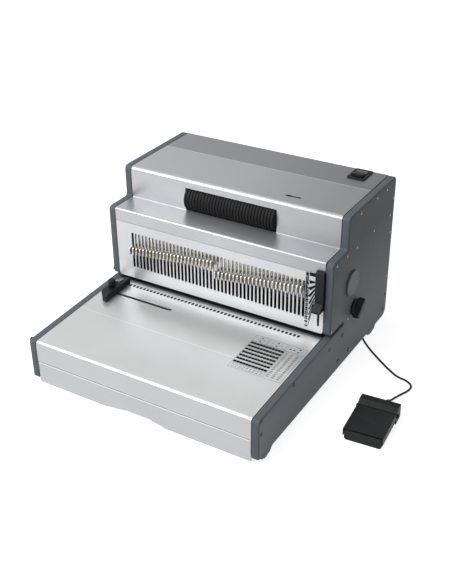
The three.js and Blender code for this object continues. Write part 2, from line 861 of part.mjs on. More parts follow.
// Punch front cover: the comb of upright slots and the gauge slot
const combSlots = [];
for (let k = 1; k <= pinCount; k += 1) {
  combSlots.push(uprightSlot(pinX(k), slotBottom, slotTop, slotWidth, slotEndSteps));
}
const gaugeSlotRoom = gaugeStemHeight / 2 + gaugeSlotWidth / 2 + slideGap;
combSlots.push(uprightSlot(
  gaugeX + gaugeStemOffset,
  gaugeStemZ - gaugeTravel - gaugeSlotRoom,
  gaugeStemZ + gaugeSlotRoom,
  gaugeSlotWidth,
  slotEndSteps,
));
place('punch_front_cover', alongY(rounded([
  [-fitX, throatTop, frontCoverRadius], [fitX, throatTop, frontCoverRadius],
  [fitX, coverSeam - coverSeamGap / 2], [-fitX, coverSeam - coverSeamGap / 2],
]), coverFace, coverFace + frontCoverThickness, combSlots), aluminiumColour, 0.32, 0.9);

// Rear cover: vents, the mains inlet's cut-out and the cord gland's hole
const vents = [];
for (let k = 0; k < ventCount; k += 1) {
  const x = (k - (ventCount - 1) / 2) * ventPitch;
  vents.push(rectangle(x - ventWidth / 2, x + ventWidth / 2, ventZ, ventZ + ventHeight));
}
const glandX = coilX - coilOuterRadius;
const rearOpenings = [
  ...vents,
  rectangle(
    inletX - inletWidth / 2 - seatGap, inletX + inletWidth / 2 + seatGap,
    inletZ - inletHeight / 2 - seatGap, inletZ + inletHeight / 2 + seatGap,
  ),
  circle(glandX, glandZ, glandRadius + seatGap),
];
place('rear_cover', cut(
  block(-fitX, fitX, rearCoverFront, rearCoverRear, panTop + seatGap, coverTop - coverRearRadius),
  rearOpenings.map((outline) => alongY(outline, rearCoverFront - overrun, rearCoverRear + overrun)),
), panelColour, 0.6, 0.4);

// Die plate and punch guide block: the two halves of the paper throat
const dieFront = housingFront + seatGap;
function holeRow(radius, low, high) {
  return Array.from({ length: pinCount }, (_, k) => (
    alongZ(circle(pinX(k + 1), punchY, radius, smallSides), low - overrun, high + overrun)
  ));
}
place('die_plate', cut(
  block(-fitX, fitX, dieFront, guideBlockRear, tableRearHeight - dieThickness, tableRearHeight),
  holeRow(punchRadius + runningGap, tableRearHeight - dieThickness, tableRearHeight),
), darkSteelColour, 0.35, 0.9);
place('punch_guide_block', cut(
  block(-fitX, fitX, guideBlockFront, guideBlockRear, throatTop, guideBlockTop),
  holeRow(punchRadius + runningGap, throatTop, guideBlockTop),
), darkSteelColour, 0.35, 0.9);

// A selector: a flat finger plate with a tall pull knob in front of the housing
function selector(k, end) {
  const top = stemTopLow + pinRise(k);
  const low = top - stemHeight;
  const outline = rounded([
    [knobFront, low - knobBelow, knobRadius],
    [knobFront + knobDepth, low - knobBelow],
    [knobFront + knobDepth, low],
    [end, low],
    [end, top],
    [knobFront + knobDepth, top],
    [knobFront + knobDepth, top + knobAbove],
    [knobFront, top + knobAbove, knobRadius],
  ], chamferSteps);
  return alongX(outline, pinX(k) - selectorThickness / 2, pinX(k) + selectorThickness / 2);
}

// Punch bank: the holder bar with its punches and the selectors that stay in it
const holderLeft = pinX(1) - selectorThickness / 2 - holderMargin;
const holderRight = pinX(pinCount) + selectorThickness / 2 + holderMargin;
const holder = alongX(rounded([
  [holderFront, holderBottom], [holderRear, holderBottom],
  [holderRear, holderTop, holderChamfer], [holderFront, holderTop, holderChamfer],
], chamferSteps), holderLeft, holderRight);
const punches = [];
const fixedSelectors = [];
const pockets = [];
for (let k = 1; k <= pinCount; k += 1) {
  const tip = throatTop + punchTipLift + pinRise(k);
  punches.push(alongZ(circle(pinX(k), punchY, punchRadius, smallSides), tip, holderBottom + fuseDepth));
  if (isLoose(k)) {
    const top = stemTopLow + pinRise(k);
    pockets.push(block(
      pinX(k) - selectorThickness / 2 - runningGap, pinX(k) + selectorThickness / 2 + runningGap,
      holderFront - overrun, pocketEnd, top - stemHeight - runningGap, top + runningGap,
    ));
  } else {
    fixedSelectors.push(selector(k, holderFront + fuseDepth));
  }
}
place('punch_bank', joined([cut(holder, pockets), ...punches, ...fixedSelectors]), nickelColour, 0.3, 0.9);
for (let k = 1; k <= pinCount; k += 1) {
  if (isLoose(k)) {
    place(`selector_${String(k).padStart(2, '0')}`, selector(k, pocketEnd - seatGap), nickelColour, 0.25, 0.95);
  }
}

// Ram beam: cross bar, two end blocks that slide on the columns, and two yokes for the cranks
const ramHalf = ramWidth / 2;
const yokeTopPin = crankZ + crankThrow;
const yokeSlotHalf = crankPinRadius + crankFreePlay;
const yokeSlotReach = crankThrow + crankPinRadius + slideGap;
const ramPieces = [block(-ramHalf, ramHalf, ramFront, ramFront + ramBarDepth, ramBottom, ramTop)];
const ramCuts = [];
for (const sign of [-1, 1]) {
  const side = (a, b) => (sign < 0 ? [-b, -a] : [a, b]);
  const [endLow, endHigh] = side(ramHalf - ramEndWidth, ramHalf);
  ramPieces.push(block(endLow, endHigh, ramEndFront, ramFront + fuseDepth, ramBottom, ramTop));
  const [yokeLow, yokeHigh] = side(yokeInner, yokeInner + yokeThickness);
  ramPieces.push(alongX(rounded([
    [ramFront + ramBarDepth - fuseDepth, yokeTopPin - yokeSlotHalf - yokeMargin],
    [crankY + yokeSlotReach + yokeMargin, yokeTopPin - yokeSlotHalf - yokeMargin, yokeMargin],
    [crankY + yokeSlotReach + yokeMargin, yokeTopPin + yokeSlotHalf + yokeMargin, yokeMargin],
    [ramFront + ramBarDepth - fuseDepth, yokeTopPin + yokeSlotHalf + yokeMargin],
  ]), yokeLow, yokeHigh));
  ramCuts.push(alongX(rectangle(
    crankY - yokeSlotReach, crankY + yokeSlotReach,
    yokeTopPin - yokeSlotHalf, yokeTopPin + yokeSlotHalf, yokeSlotHalf,
  ), yokeLow - fuseDepth, yokeHigh + fuseDepth));
  ramCuts.push(alongZ(
    circle(sign * columnX, columnY, columnRadius + runningGap), ramBottom - overrun, ramTop + overrun,
  ));
  const column = alongZ(circle(sign * columnX, columnY, columnRadius), guideBlockTop + seatGap, columnTop);
  place(`ram_column_${sign < 0 ? 'left' : 'right'}`, column, steelColour, 0.2, 0.95);
}
place('ram_beam', cut(joined(ramPieces), ramCuts), castColour, 0.6, 0.6);

// Crank shaft: a cross shaft with its gear, and a disc and an overhung pin at each end
const crankPieces = [alongX(
  circle(crankY, crankZ, crankShaftRadius),
  -crankDiscInner - fuseDepth,
  crankDiscInner + fuseDepth,
)];
for (const sign of [-1, 1]) {
  const side = (a, b) => (sign < 0 ? [-b, -a] : [a, b]);
  const [discLow, discHigh] = side(crankDiscInner, crankDiscInner + crankDiscThickness);
  crankPieces.push(alongX(circle(crankY, crankZ, crankDiscRadius, fineSides), discLow, discHigh));
  const pinEnd = crankDiscInner + crankDiscThickness + crankPinLength;
  const [pinLow, pinHigh] = side(crankDiscInner + crankDiscThickness - fuseDepth, pinEnd);
  crankPieces.push(alongX(circle(crankY, crankZ + crankThrow, crankPinRadius), pinLow, pinHigh));
}

// Gears: straight-flanked teeth on the pitch circle, a gap of the pinion facing a tooth of the wheel
const rootWidthShare = 0.33;
const tipWidthShare = 0.14;
function toothShares(root, tip) {
  return [[root, -rootWidthShare], [tip, -tipWidthShare], [tip, tipWidthShare], [root, rootWidthShare]];
}
function gearOutline(across, up, teeth, phase) {
  const pitchRadius = gearToothSize * teeth / 2;
  const tip = pitchRadius + gearToothSize;
  const root = pitchRadius - gearToothSize - gearToothSize / 4;
  const step = 2 * Math.PI / teeth;
  const points = [];
  for (let k = 0; k < teeth; k += 1) {
    const middle = (k + phase) * step;
    for (const [r, widthShare] of toothShares(root, tip)) {
      const a = middle + widthShare * step;
      points.push(new THREE.Vector2(across + r * Math.cos(a), up + r * Math.sin(a)));
    }
  }
  return points;
}
crankPieces.push(alongX(gearOutline(crankY, crankZ, crankTeeth, 0), gearX, gearX + gearWidth));
place('crank_shaft', joined(crankPieces), steelColour, 0.3, 0.9);

place('drive_pinion', joined([
  alongX(gearOutline(pinionY, crankZ, pinionTeeth, (pinionTeeth + 1) / 2), gearX, gearX + gearWidth),
  alongX(
    circle(pinionY, crankZ, pinionShaftRadius),
    gearX + gearWidth - fuseDepth,
    motorBracketX + motorBracketThickness,
  ),
]), steelColour, 0.35, 0.9);

// Bearing pedestals that stand on the base pan
for (const [side, sign] of [['left', -1], ['right', 1]]) {
  const [low, high] = sign < 0
    ? [-pedestalX - pedestalThickness, -pedestalX]
    : [pedestalX, pedestalX + pedestalThickness];
  const [flangeLow, flangeHigh] = sign < 0
    ? [low - pedestalFlange, high - fuseDepth]
    : [low + fuseDepth, high + pedestalFlange];
  const foot = panTop + seatGap;
  const head = crankZ + pedestalHeadRise;
  place(`crank_pedestal_${side}`, cut(joined([
    alongX(rounded([
      [crankY - pedestalFootReach, foot], [crankY + pedestalFootReach, foot],
      [crankY + pedestalHeadReach, head, pedestalHeadRadius],
      [crankY - pedestalHeadReach, head, pedestalHeadRadius],
    ]), low, high),
    block(
      flangeLow, flangeHigh, crankY - pedestalFootReach, crankY + pedestalFootReach,
      foot, foot + pedestalFlangeHeight,
    ),
  ]), [
    alongX(circle(crankY, crankZ, crankShaftRadius + runningGap), low - overrun, high + overrun),
  ]), castColour, 0.6, 0.6);
}

// Geared motor on its bracket
const bracketFootZ = panTop + seatGap;
place('motor_bracket', cut(joined([
  alongX(rounded([
    [pinionY - motorBracketFootReach, bracketFootZ], [pinionY + motorBracketFootReach, bracketFootZ],
    [pinionY + motorBracketHeadReach, crankZ + motorBracketRise, gearboxRadius],
    [pinionY - motorBracketHeadReach, crankZ + motorBracketRise, gearboxRadius],
  ]), motorBracketX, motorBracketX + motorBracketThickness),
  block(
    motorBracketX + fuseDepth, motorBracketX + motorBracketThickness + bracketFoot,
    pinionY - motorBracketFootReach, pinionY + motorBracketFootReach,
    bracketFootZ, bracketFootZ + motorBracketThickness,
  ),
]), [
  alongX(
    circle(pinionY, crankZ, pinionShaftRadius + runningGap),
    motorBracketX - overrun,
    motorBracketX + motorBracketThickness + overrun,
  ),
]), steelColour, 0.45, 0.8);
const gearboxLeft = motorBracketX + motorBracketThickness + seatGap;
const driveMotorLeft = gearboxLeft + gearboxLength;
const driveMotorRight = driveMotorLeft + driveMotorLength;
place('drive_motor', joined([
  alongX(rectangle(
    pinionY - gearboxReach, pinionY + gearboxReach, crankZ - gearboxReach, crankZ + gearboxReach, gearboxRadius,
  ), gearboxLeft, driveMotorLeft),
  alongX(circle(pinionY, crankZ, driveMotorRadius, fineSides), driveMotorLeft - fuseDepth, driveMotorRight),
  alongX(
    circle(pinionY, crankZ, driveMotorCapRadius, fineSides),
    driveMotorRight - fuseDepth,
    driveMotorRight + driveMotorCapLength,
  ),
]), darkSteelColour, 0.5, 0.7);

// Coil roller: a ribbed rubber sleeve on a steel shaft that carries the belt pulley
function rollerProfile() {
  const length = rollerRight - rollerLeft;
  const pitch = length / rollerRibs;
  const bore = rollerShaftRadius + seatGap;
  const profile = [[bore, rollerLeft], [rollerRadius - rollerRibDepth, rollerLeft]];
  for (let k = 0; k < rollerRibs; k += 1) {
    profile.push([rollerRadius, rollerLeft + (k + 0.5) * pitch]);
    profile.push([rollerRadius - rollerRibDepth, rollerLeft + (k + 1) * pitch]);
  }
  profile.push([bore, rollerRight], [bore, rollerLeft]);
  return profile;
}
const rollerBody = turned(rollerProfile(), rollerSides, 'x').translate(0, rollerY, rollerZ);
place('coil_roller', solid(rollerBody), rubberColour, 0.85, 0);

const leftBracketX = rollerLeft - bracketClearance - bracketThickness;
const rightBracketX = rollerRight + bracketClearance;
const pulleyLeft = rightBracketX + bracketThickness + pulleyOffset;
const pulleyRight = pulleyLeft + pulleyWidth;
place('roller_shaft', joined([
  alongX(circle(rollerY, rollerZ, rollerShaftRadius), leftBracketX - overrun, pulleyRight + overrun),
  alongX(circle(rollerY, rollerZ, rollerPulleyRadius), pulleyLeft, pulleyRight),
]), steelColour, 0.3, 0.9);

const bracketTop = coverTop - coverThickness - seatGap;
const bracketFront = upperFace + coverThickness + seatGap;
const bracketCorner = coverTopRadius - coverThickness;
function hangingBracket(plateX, rear, flangeSign, bores) {
  const low = rollerZ - rollerRadius;
  const [flangeLow, flangeHigh] = flangeSign < 0
    ? [plateX + bracketThickness - bracketFlange, plateX + bracketThickness]
    : [plateX, plateX + bracketFlange];
  return cut(joined([
    alongX(rounded([
      [bracketFront, low, bracketThickness], [rear, low, bracketThickness],
      [rear, bracketTop], [bracketFront + bracketCorner, bracketTop],
      [bracketFront, bracketTop - bracketCorner],
    ]), plateX, plateX + bracketThickness),
    block(
      flangeLow, flangeHigh, bracketFront + bracketCorner, rear, bracketTop - bracketThickness, bracketTop,
    ),
  ]), bores.map(([y, radius]) => alongX(
    circle(y, rollerZ, radius + runningGap),
    plateX - overrun,
    plateX + bracketThickness + overrun,
  )));
}
place('roller_bracket_left', hangingBracket(
  leftBracketX, rollerY + bracketReach, -1, [[rollerY, rollerShaftRadius]],
), steelColour, 0.45, 0.8);
place('roller_bracket_right', hangingBracket(
  rightBracketX, rollerMotorY + rollerMotorRadius + bracketThickness, 1,
  [[rollerY, rollerShaftRadius], [rollerMotorY, rollerMotorShaftRadius]],
), steelColour, 0.45, 0.8);

const rollerMotorRight = rightBracketX - seatGap;
place('roller_motor', alongX(
  circle(rollerMotorY, rollerZ, rollerMotorRadius, fineSides),
  rollerMotorRight - rollerMotorLength,
  rollerMotorRight,
), darkSteelColour, 0.5, 0.7);
place('roller_motor_pulley', joined([
  alongX(circle(rollerMotorY, rollerZ, motorPulleyRadius), pulleyLeft, pulleyRight),
  alongX(circle(rollerMotorY, rollerZ, rollerMotorShaftRadius), rightBracketX, pulleyLeft + fuseDepth),
]), blackColour, 0.6, 0);

// Belt: an open loop round both pulleys, tangent to each
function beltLoop(extra) {
  const big = rollerPulleyRadius + extra;
  const small = motorPulleyRadius + extra;
  const lean = Math.acos((big - small) / rollerMotorSpan);
  const points = [];
  for (let k = 0; k <= roundSides; k += 1) {
    const a = lean + (2 * Math.PI - 2 * lean) * k / roundSides;
    points.push(new THREE.Vector2(rollerY + big * Math.cos(a), rollerZ + big * Math.sin(a)));
  }
  for (let k = 0; k <= roundSides / 2; k += 1) {
    const a = -lean + 2 * lean * k / (roundSides / 2);
    points.push(new THREE.Vector2(rollerMotorY + small * Math.cos(a), rollerZ + small * Math.sin(a)));
  }
  return points;
}
place('roller_belt', alongX(
  beltLoop(slideGap + beltThickness),
  pulleyLeft + beltInset,
  pulleyRight - beltInset,
  [beltLoop(slideGap)],
), rubberColour, 0.8, 0);

// Back stop: a flat strip in the throat with a tab that the margin cam pushes
const stopLow = tableRearHeight + (throatGap - stopThickness) / 2;
const tabRear = marginY - camRadius - seatGap;
place('back_stop', joined([
  block(-stopHalfWidth, stopHalfWidth, stopRest, guideBlockRear - slideGap, stopLow, stopLow + stopThickness),
  block(
    stopTabLeft, stopTabRight, guideBlockRear - slideGap - fuseDepth - stopTabThickness, tabRear,
    stopLow, stopLow + stopThickness,
  ),
  block(stopTabLeft, stopTabRight, tabRear - stopTabThickness, tabRear, stopLow, stopLow + stopTabHeight),
]), steelColour, 0.35, 0.9);

// Margin knob outside the right panel, and its spiral cam inside
const barTilt = radians(marginBarTilt);
function barCorner(alongBar, acrossBar) {
  return [
    marginY + alongBar * Math.cos(barTilt) - acrossBar * Math.sin(barTilt),
    marginZ + alongBar * Math.sin(barTilt) + acrossBar * Math.cos(barTilt),
    marginBarRadius,
  ];
}
const knobBase = halfWidth + slideGap;
place('margin_knob', joined([
  alongX(circle(marginY, marginZ, marginHubRadius, fineSides), knobBase, knobBase + marginHubThickness),
  alongX(rounded([
    barCorner(-marginBarLength / 2, -marginBarWidth / 2), barCorner(marginBarLength / 2, -marginBarWidth / 2),
    barCorner(marginBarLength / 2, marginBarWidth / 2), barCorner(-marginBarLength / 2, marginBarWidth / 2),
  ]), knobBase + marginHubThickness - fuseDepth, knobBase + marginHubThickness + marginBarThickness),
  alongX(circle(marginY, marginZ, marginShaftRadius), camX - fuseDepth, knobBase + fuseDepth),
]), blackColour, 0.5, 0);

function camOutline() {
  const turn = radians(marginTurn);
  return Array.from({ length: fineSides }, (_, k) => {
    const a = 2 * Math.PI * k / fineSides;
    const back = a - Math.PI;
    const turnedShare = THREE.MathUtils.clamp(back / turn, 0, 1);
    const fallShare = back < 0 ? 0 : THREE.MathUtils.clamp(1 - (back - turn) / (Math.PI - turn), 0, 1);
    const r = camRadius + stopTravel * Math.min(turnedShare, fallShare);
    return new THREE.Vector2(marginY + r * Math.cos(a), marginZ + r * Math.sin(a));
  });
}
place('margin_cam', alongX(
  camOutline(),
  camX,
  camX + camThickness,
  [circle(marginY, marginZ, marginShaftRadius + seatGap)],
), brassColour, 0.4, 0.9);

// Coil and thickness gauge: the handle with its lip, its stem in the slot and the plate behind
const gaugeBack = coverFace - gaugeFaceGap;
const gaugeFace = gaugeBack - gaugeThickness;
const gaugeStemX = gaugeX + gaugeStemOffset;
const gaugePlateFront = coverFace + frontCoverThickness + seatGap;
place('gauge_handle', joined([
  alongX(rounded([
    [gaugeBack, gaugeBottom], [gaugeBack, gaugeTop, gaugeCorner / 2],
    [gaugeFace, gaugeTop - gaugeCorner, gaugeCorner],
    [gaugeFace, gaugeBottom + gaugeLipHeight + gaugeLipRise, gaugeCorner],
    [gaugeFace - gaugeLip, gaugeBottom + gaugeLipHeight, gaugeCorner / 2],
    [gaugeFace - gaugeLip, gaugeBottom, gaugeCorner / 2],
  ]), gaugeX - gaugeWidth / 2, gaugeX + gaugeWidth / 2),
  block(
    gaugeStemX - gaugeStemWidth / 2, gaugeStemX + gaugeStemWidth / 2,
    gaugeBack - fuseDepth, gaugePlateFront + fuseDepth,
    gaugeStemZ - gaugeStemHeight / 2, gaugeStemZ + gaugeStemHeight / 2,
  ),
  block(
    gaugeStemX - gaugePlateWidth / 2, gaugeStemX + gaugePlateWidth / 2,
    gaugePlateFront, gaugePlateFront + gaugePlateThickness,
    gaugeStemZ - gaugePlateHeight / 2, gaugeStemZ + gaugePlateHeight / 2,
  ),
]), blackColour, 0.5, 0);

// Side guide: fence and block on the table, clamp knob with its screw, nut under the table
const fenceRight = guideX + guideFence;
const onTable = (y, lift) => tableTopAt(y) + lift;
function tableSlab(x0, x1, y0, y1, lift, height, radius) {
  return alongX(rounded([
    [y0, onTable(y0, lift)], [y1, onTable(y1, lift)],
    [y1, onTable(y1, lift + height), radius], [y0, onTable(y0, lift + height), radius],
  ]), x0, x1);
}
place('side_guide', cut(joined([
  tableSlab(
    fenceRight - guideFenceWidth, fenceRight, guideFenceFront, guideFenceRear, seatGap, guideHeight,
    guideRadius,
  ),
  tableSlab(
    guideX - guideBlockSide, fenceRight - guideFenceWidth + fuseDepth,
    guideBlockFrontY, guideBlockRearY, seatGap, guideHeight, guideRadius,
  ),
]), [
  alongZ(
    circle(guideX, guideSlotY, guideScrewRadius + runningGap),
    onTable(guideBlockFrontY, seatGap) - overrun,
    onTable(guideBlockRearY, seatGap + guideHeight) + overrun,
  ),
]), blackColour, 0.5, 0);
const knobFoot = onTable(guideBlockRearY, seatGap + guideHeight) + seatGap;
const nutTop = onTable(guideSlotY - guideNutReach, -coverInset - tableThickness - seatGap);
place('guide_knob', joined([
  turned([
    [0, knobFoot], [guideKnobRadius, knobFoot],
    [guideKnobRadius, knobFoot + guideKnobHeight - guideKnobRound],
    [guideKnobRadius - guideKnobRound, knobFoot + guideKnobHeight], [0, knobFoot + guideKnobHeight],
  ], roundSides, 'z').translate(guideX, guideSlotY, 0),
  alongZ(circle(guideX, guideSlotY, guideScrewRadius), nutTop - guideNutThickness, knobFoot + fuseDepth),
]), blackColour, 0.5, 0);
place('guide_nut', cut(
  block(
    guideX - guideNutReach, guideX + guideNutReach, guideSlotY - guideNutReach, guideSlotY + guideNutReach,
    nutTop - guideNutThickness, nutTop,
  ),
  [alongZ(
    circle(guideX, guideSlotY, guideScrewRadius + runningGap),
    nutTop - guideNutThickness - overrun,
    nutTop + overrun,
  )],
), steelColour, 0.4, 0.8);

// Power switch: a bezel with a well, and the rocker in it
const bezelFoot = coverTop + seatGap;
const bezelTop = bezelFoot + switchBezelHeight;
place('switch_bezel', cut(joined([
  alongZ(rectangle(
    switchX - switchBezelWidth / 2, switchX + switchBezelWidth / 2,
    switchY - switchBezelDepth / 2, switchY + switchBezelDepth / 2, switchBezelHeight,
  ), bezelFoot, bezelTop),
  block(
    switchX - switchBodyWidth / 2, switchX + switchBodyWidth / 2,
    switchY - switchBodyDepth / 2, switchY + switchBodyDepth / 2,
    bezelFoot - switchBodyHeight, bezelFoot + fuseDepth,
  ),
]), [
  block(
    switchX - switchWellWidth / 2, switchX + switchWellWidth / 2,
    switchY - switchWellReach, switchY + switchWellReach,
    bezelTop - switchWellDepth, bezelTop + overrun,
  ),
]), blackColour, 0.45, 0);
const rockerZ = bezelTop - rockerPivotDrop;
const rockerShape = [
  [-rockerReach, rockerEndRise], [-rockerReach, -rockerShoulder], [0, -rockerKeel],
  [rockerReach, -rockerShoulder], [rockerReach, rockerEndRise], [0, rockerMiddleRise],
].map(([across, up]) => {
  const tilt = radians(-rockerTilt);
  return new THREE.Vector2(
    switchY + across * Math.cos(tilt) - up * Math.sin(tilt),
    rockerZ + across * Math.sin(tilt) + up * Math.cos(tilt),
  );
});
place('power_rocker', alongX(
  rockerShape,
  switchX - switchWellWidth / 2 + rockerSideGap,
  switchX + switchWellWidth / 2 - rockerSideGap,
), blackColour, 0.35, 0);

// Mains inlet: a flanged body with a well and three blades
const inletFace = rearCoverRear + seatGap;
const inletRear = inletFace + inletFlangeThickness;
const blades = [
  [-inletPinSpread, -inletPinHeight / 2], [inletPinSpread, -inletPinHeight / 2], [0, inletPinHeight / 2],
];
place('mains_inlet', joined([
  cut(joined([
    alongY(rectangle(
      inletX - inletWidth / 2 - inletFlange, inletX + inletWidth / 2 + inletFlange,
      inletZ - inletHeight / 2 - inletFlange, inletZ + inletHeight / 2 + inletFlange, inletFlange,
    ), inletFace, inletRear),
    block(
      inletX - inletWidth / 2, inletX + inletWidth / 2, inletFace - inletDepth, inletFace + fuseDepth,
      inletZ - inletHeight / 2, inletZ + inletHeight / 2,
    ),
  ]), [
    alongY(rectangle(
      inletX - inletWellWidth / 2, inletX + inletWellWidth / 2,
      inletZ - inletWellHeight / 2, inletZ + inletWellHeight / 2, inletWellRadius,
    ), inletRear - inletWell, inletRear + overrun),
  ]),
  ...blades.map(([dx, dz]) => block(
    inletX + dx - inletPinWidth / 2, inletX + dx + inletPinWidth / 2,
    inletRear - inletWell - fuseDepth, inletRear - inletWell + inletPinLength,
    inletZ + dz - inletPinHeight / 2, inletZ + dz + inletPinHeight / 2,
  )),
]), blackColour, 0.5, 0);

// Cord gland in the rear cover
const glandTip = inletFace + glandFlangeThickness + glandSleeveLength;
place('cord_gland', solid(turned([
  [0, rearCoverFront - glandFlangeThickness], [glandRadius, rearCoverFront - glandFlangeThickness],
  [glandRadius, inletFace], [glandFlangeRadius, inletFace],
  [glandFlangeRadius, inletFace + glandFlangeThickness], [glandSleeveRadius, inletFace + glandFlangeThickness],
  [glandTipRadius, glandTip], [0, glandTip],
], roundSides, 'y').translate(glandX, 0, glandZ)), blackColour, 0.6, 0);

// Control board on its posts
const boardBottom = panTop + boardPostHeight + seatGap;
const boardTop = boardBottom + boardThickness;
const boardPieces = [
  block(boardLeft, boardRight, boardFront, boardRear, boardBottom, boardTop),
  block(
    boardLeft + boardPartInset, boardLeft + boardPartInset + transformerWidth,
    boardFront + boardPartInset, boardFront + boardPartInset + transformerDepth,
    boardTop - fuseDepth, boardTop + transformerHeight,
  ),
];
for (let k = 0; k < 3; k += 1) {
  const x = boardLeft + boardPartInset + transformerWidth + boardPartInset + k * relayPitch;
  boardPieces.push(block(
    x, x + relayWidth, boardFront + boardPartInset, boardFront + boardPartInset + relayDepth,
    boardTop - fuseDepth, boardTop + relayHeight,
  ));
}
place('control_board', joined(boardPieces), boardColour, 0.6, 0);

// Motor capacitor
const capacitorFoot = panTop + seatGap;
place('motor_capacitor', solid(turned([
  [0, capacitorFoot], [capacitorRadius, capacitorFoot],
  [capacitorRadius, capacitorFoot + capacitorHeight - capacitorRim],
  [capacitorRadius - capacitorRim, capacitorFoot + capacitorHeight], [0, capacitorFoot + capacitorHeight],
], roundSides, 'z').translate(capacitorX, capacitorY, 0)), aluminiumColour, 0.4, 0.8);

// Foot pedal
const soleTop = pedalSoleThickness;
const baseLow = soleTop + seatGap;
const baseTop = baseLow + pedalBaseThickness;
const humpFront = pedalPlateLength + pedalHumpGap;
const pedalBaseInset = pedalWall + pedalSideGap;
place('pedal_sole', alongZ(rectangle(
  pedalBaseInset + pedalSoleInset, pedalWidth - pedalBaseInset - pedalSoleInset,
  pedalSoleInset, pedalLength - pedalSoleInset, pedalBaseInset,
), 0, soleTop), rubberColour, 0.9, 0, pedal);
place('pedal_base', cut(joined([
  block(
    pedalBaseInset, pedalWidth - pedalBaseInset, pedalFrontWall / 2, humpFront + fuseDepth, baseLow, baseTop,
  ),
  alongY(rounded([
    [pedalBaseInset, baseLow, pedalHumpRadius], [pedalWidth - pedalBaseInset, baseLow, pedalHumpRadius],
    [pedalWidth - pedalBaseInset, pedalFrontWallHeight], [pedalBaseInset, pedalFrontWallHeight],
  ], chamferSteps), 0, pedalFrontWall),
  alongX(rounded([
    [humpFront, baseLow], [pedalLength, baseLow, pedalHumpRadius],
    [pedalLength, pedalRearHeight, pedalHumpRadius],
    [humpFront + pedalHumpSlope, pedalRearHeight, pedalHumpRadius], [humpFront, pedalHumpFrontHeight],
  ]), 0, pedalWidth),
]), [
  block(
    pedalKnuckleInset - pedalPocketGap, pedalWidth - pedalKnuckleInset + pedalPocketGap,
    humpFront - fuseDepth, pedalHingeY + pedalKnuckleRadius + pedalPocketGap,
    pedalHingeZ - pedalKnuckleRadius - pedalPocketGap, pedalHingeZ + pedalKnuckleRadius + pedalPocketGap,
  ),
  alongX(circle(pedalHingeY, pedalHingeZ, pedalPinRadius + runningGap), -overrun, pedalWidth + overrun),
]), blackColour, 0.55, 0, pedal);

const plateTopAt = (y) => pedalFrontHeight + (pedalPlateRearHeight - pedalFrontHeight) * y / pedalPlateLength;
const skirtRear = [pedalSkirtLength, pedalSkirtBottom];
const lipFront = pedalFrontWall + pedalFrontGap;
const lipRear = lipFront + pedalWall;
const plateShell = cut(alongX(rounded([
  [0, pedalSkirtBottom], skirtRear, [pedalPlateLength, pedalHingeZ],
  [pedalPlateLength, plateTopAt(pedalPlateLength), pedalWall / 2], [0, plateTopAt(0), pedalWall],
]), 0, pedalWidth), [
  alongX(rounded([
    [lipRear, pedalSkirtBottom - overrun], [pedalPlateLength - pedalWall, pedalSkirtBottom - overrun],
    [pedalPlateLength - pedalWall, plateTopAt(pedalPlateLength) - pedalWall],
    [lipRear, plateTopAt(lipRear) - pedalWall],
  ]), pedalWall, pedalWidth - pedalWall),
  block(
    pedalWall, pedalWidth - pedalWall, -overrun, lipFront,
    pedalSkirtBottom - overrun, pedalFrontHeight + overrun,
  ),
  block(
    pedalWall, pedalWidth - pedalWall, lipFront - overrun, lipRear + overrun,
    pedalSkirtBottom - overrun, pedalLipBottom,
  ),
]);
place('pedal_plate', cut(joined([
  plateShell,
  alongX(
    circle(pedalHingeY, pedalHingeZ, pedalKnuckleRadius, roundSides),
    pedalKnuckleInset,
    pedalWidth - pedalKnuckleInset,
  ),
  block(
    pedalKnuckleInset, pedalWidth - pedalKnuckleInset, pedalPlateLength - pedalWall, pedalHingeY,
    pedalHingeZ, pedalHingeZ + pedalKnuckleRadius,
  ),
]), [
  alongX(circle(pedalHingeY, pedalHingeZ, pedalPinRadius + runningGap), 0, pedalWidth),
]), blackColour, 0.5, 0, pedal);
const pinHead = circle(pedalHingeY, pedalHingeZ, pedalPinHeadRadius);
place('pedal_hinge_pin', joined([
  alongX(circle(pedalHingeY, pedalHingeZ, pedalPinRadius), -pedalPinProud, pedalWidth + pedalPinProud),
  alongX(pinHead, -pedalPinProud, -seatGap),
  alongX(pinHead, pedalWidth + seatGap, pedalWidth + pedalPinProud),
]), steelColour, 0.35, 0.9, pedal);
place('pedal_switch', joined([
  block(
    (pedalWidth - pedalSwitchWidth) / 2, (pedalWidth + pedalSwitchWidth) / 2,
    pedalSwitchY, pedalSwitchY + pedalSwitchLength, baseTop + seatGap, baseTop + seatGap + pedalSwitchHeight,
  ),
  alongZ(
    circle(pedalWidth / 2, pedalSwitchY + pedalSwitchLength / 2, pedalPlungerRadius, smallSides),
    baseTop + pedalSwitchHeight,
    baseTop + seatGap + pedalSwitchHeight + pedalPlungerRise,
  ),
]), darkSteelColour, 0.6, 0, pedal);
place('cord_relief', solid(turned([
  [0, pedalLength + seatGap], [reliefRadius, pedalLength + seatGap],
  [reliefTipRadius, pedalLength + seatGap + reliefLength], [0, pedalLength + seatGap + reliefLength],
], roundSides, 'y').translate(reliefX, 0, reliefZ)), blackColour, 0.6, 0, pedal);

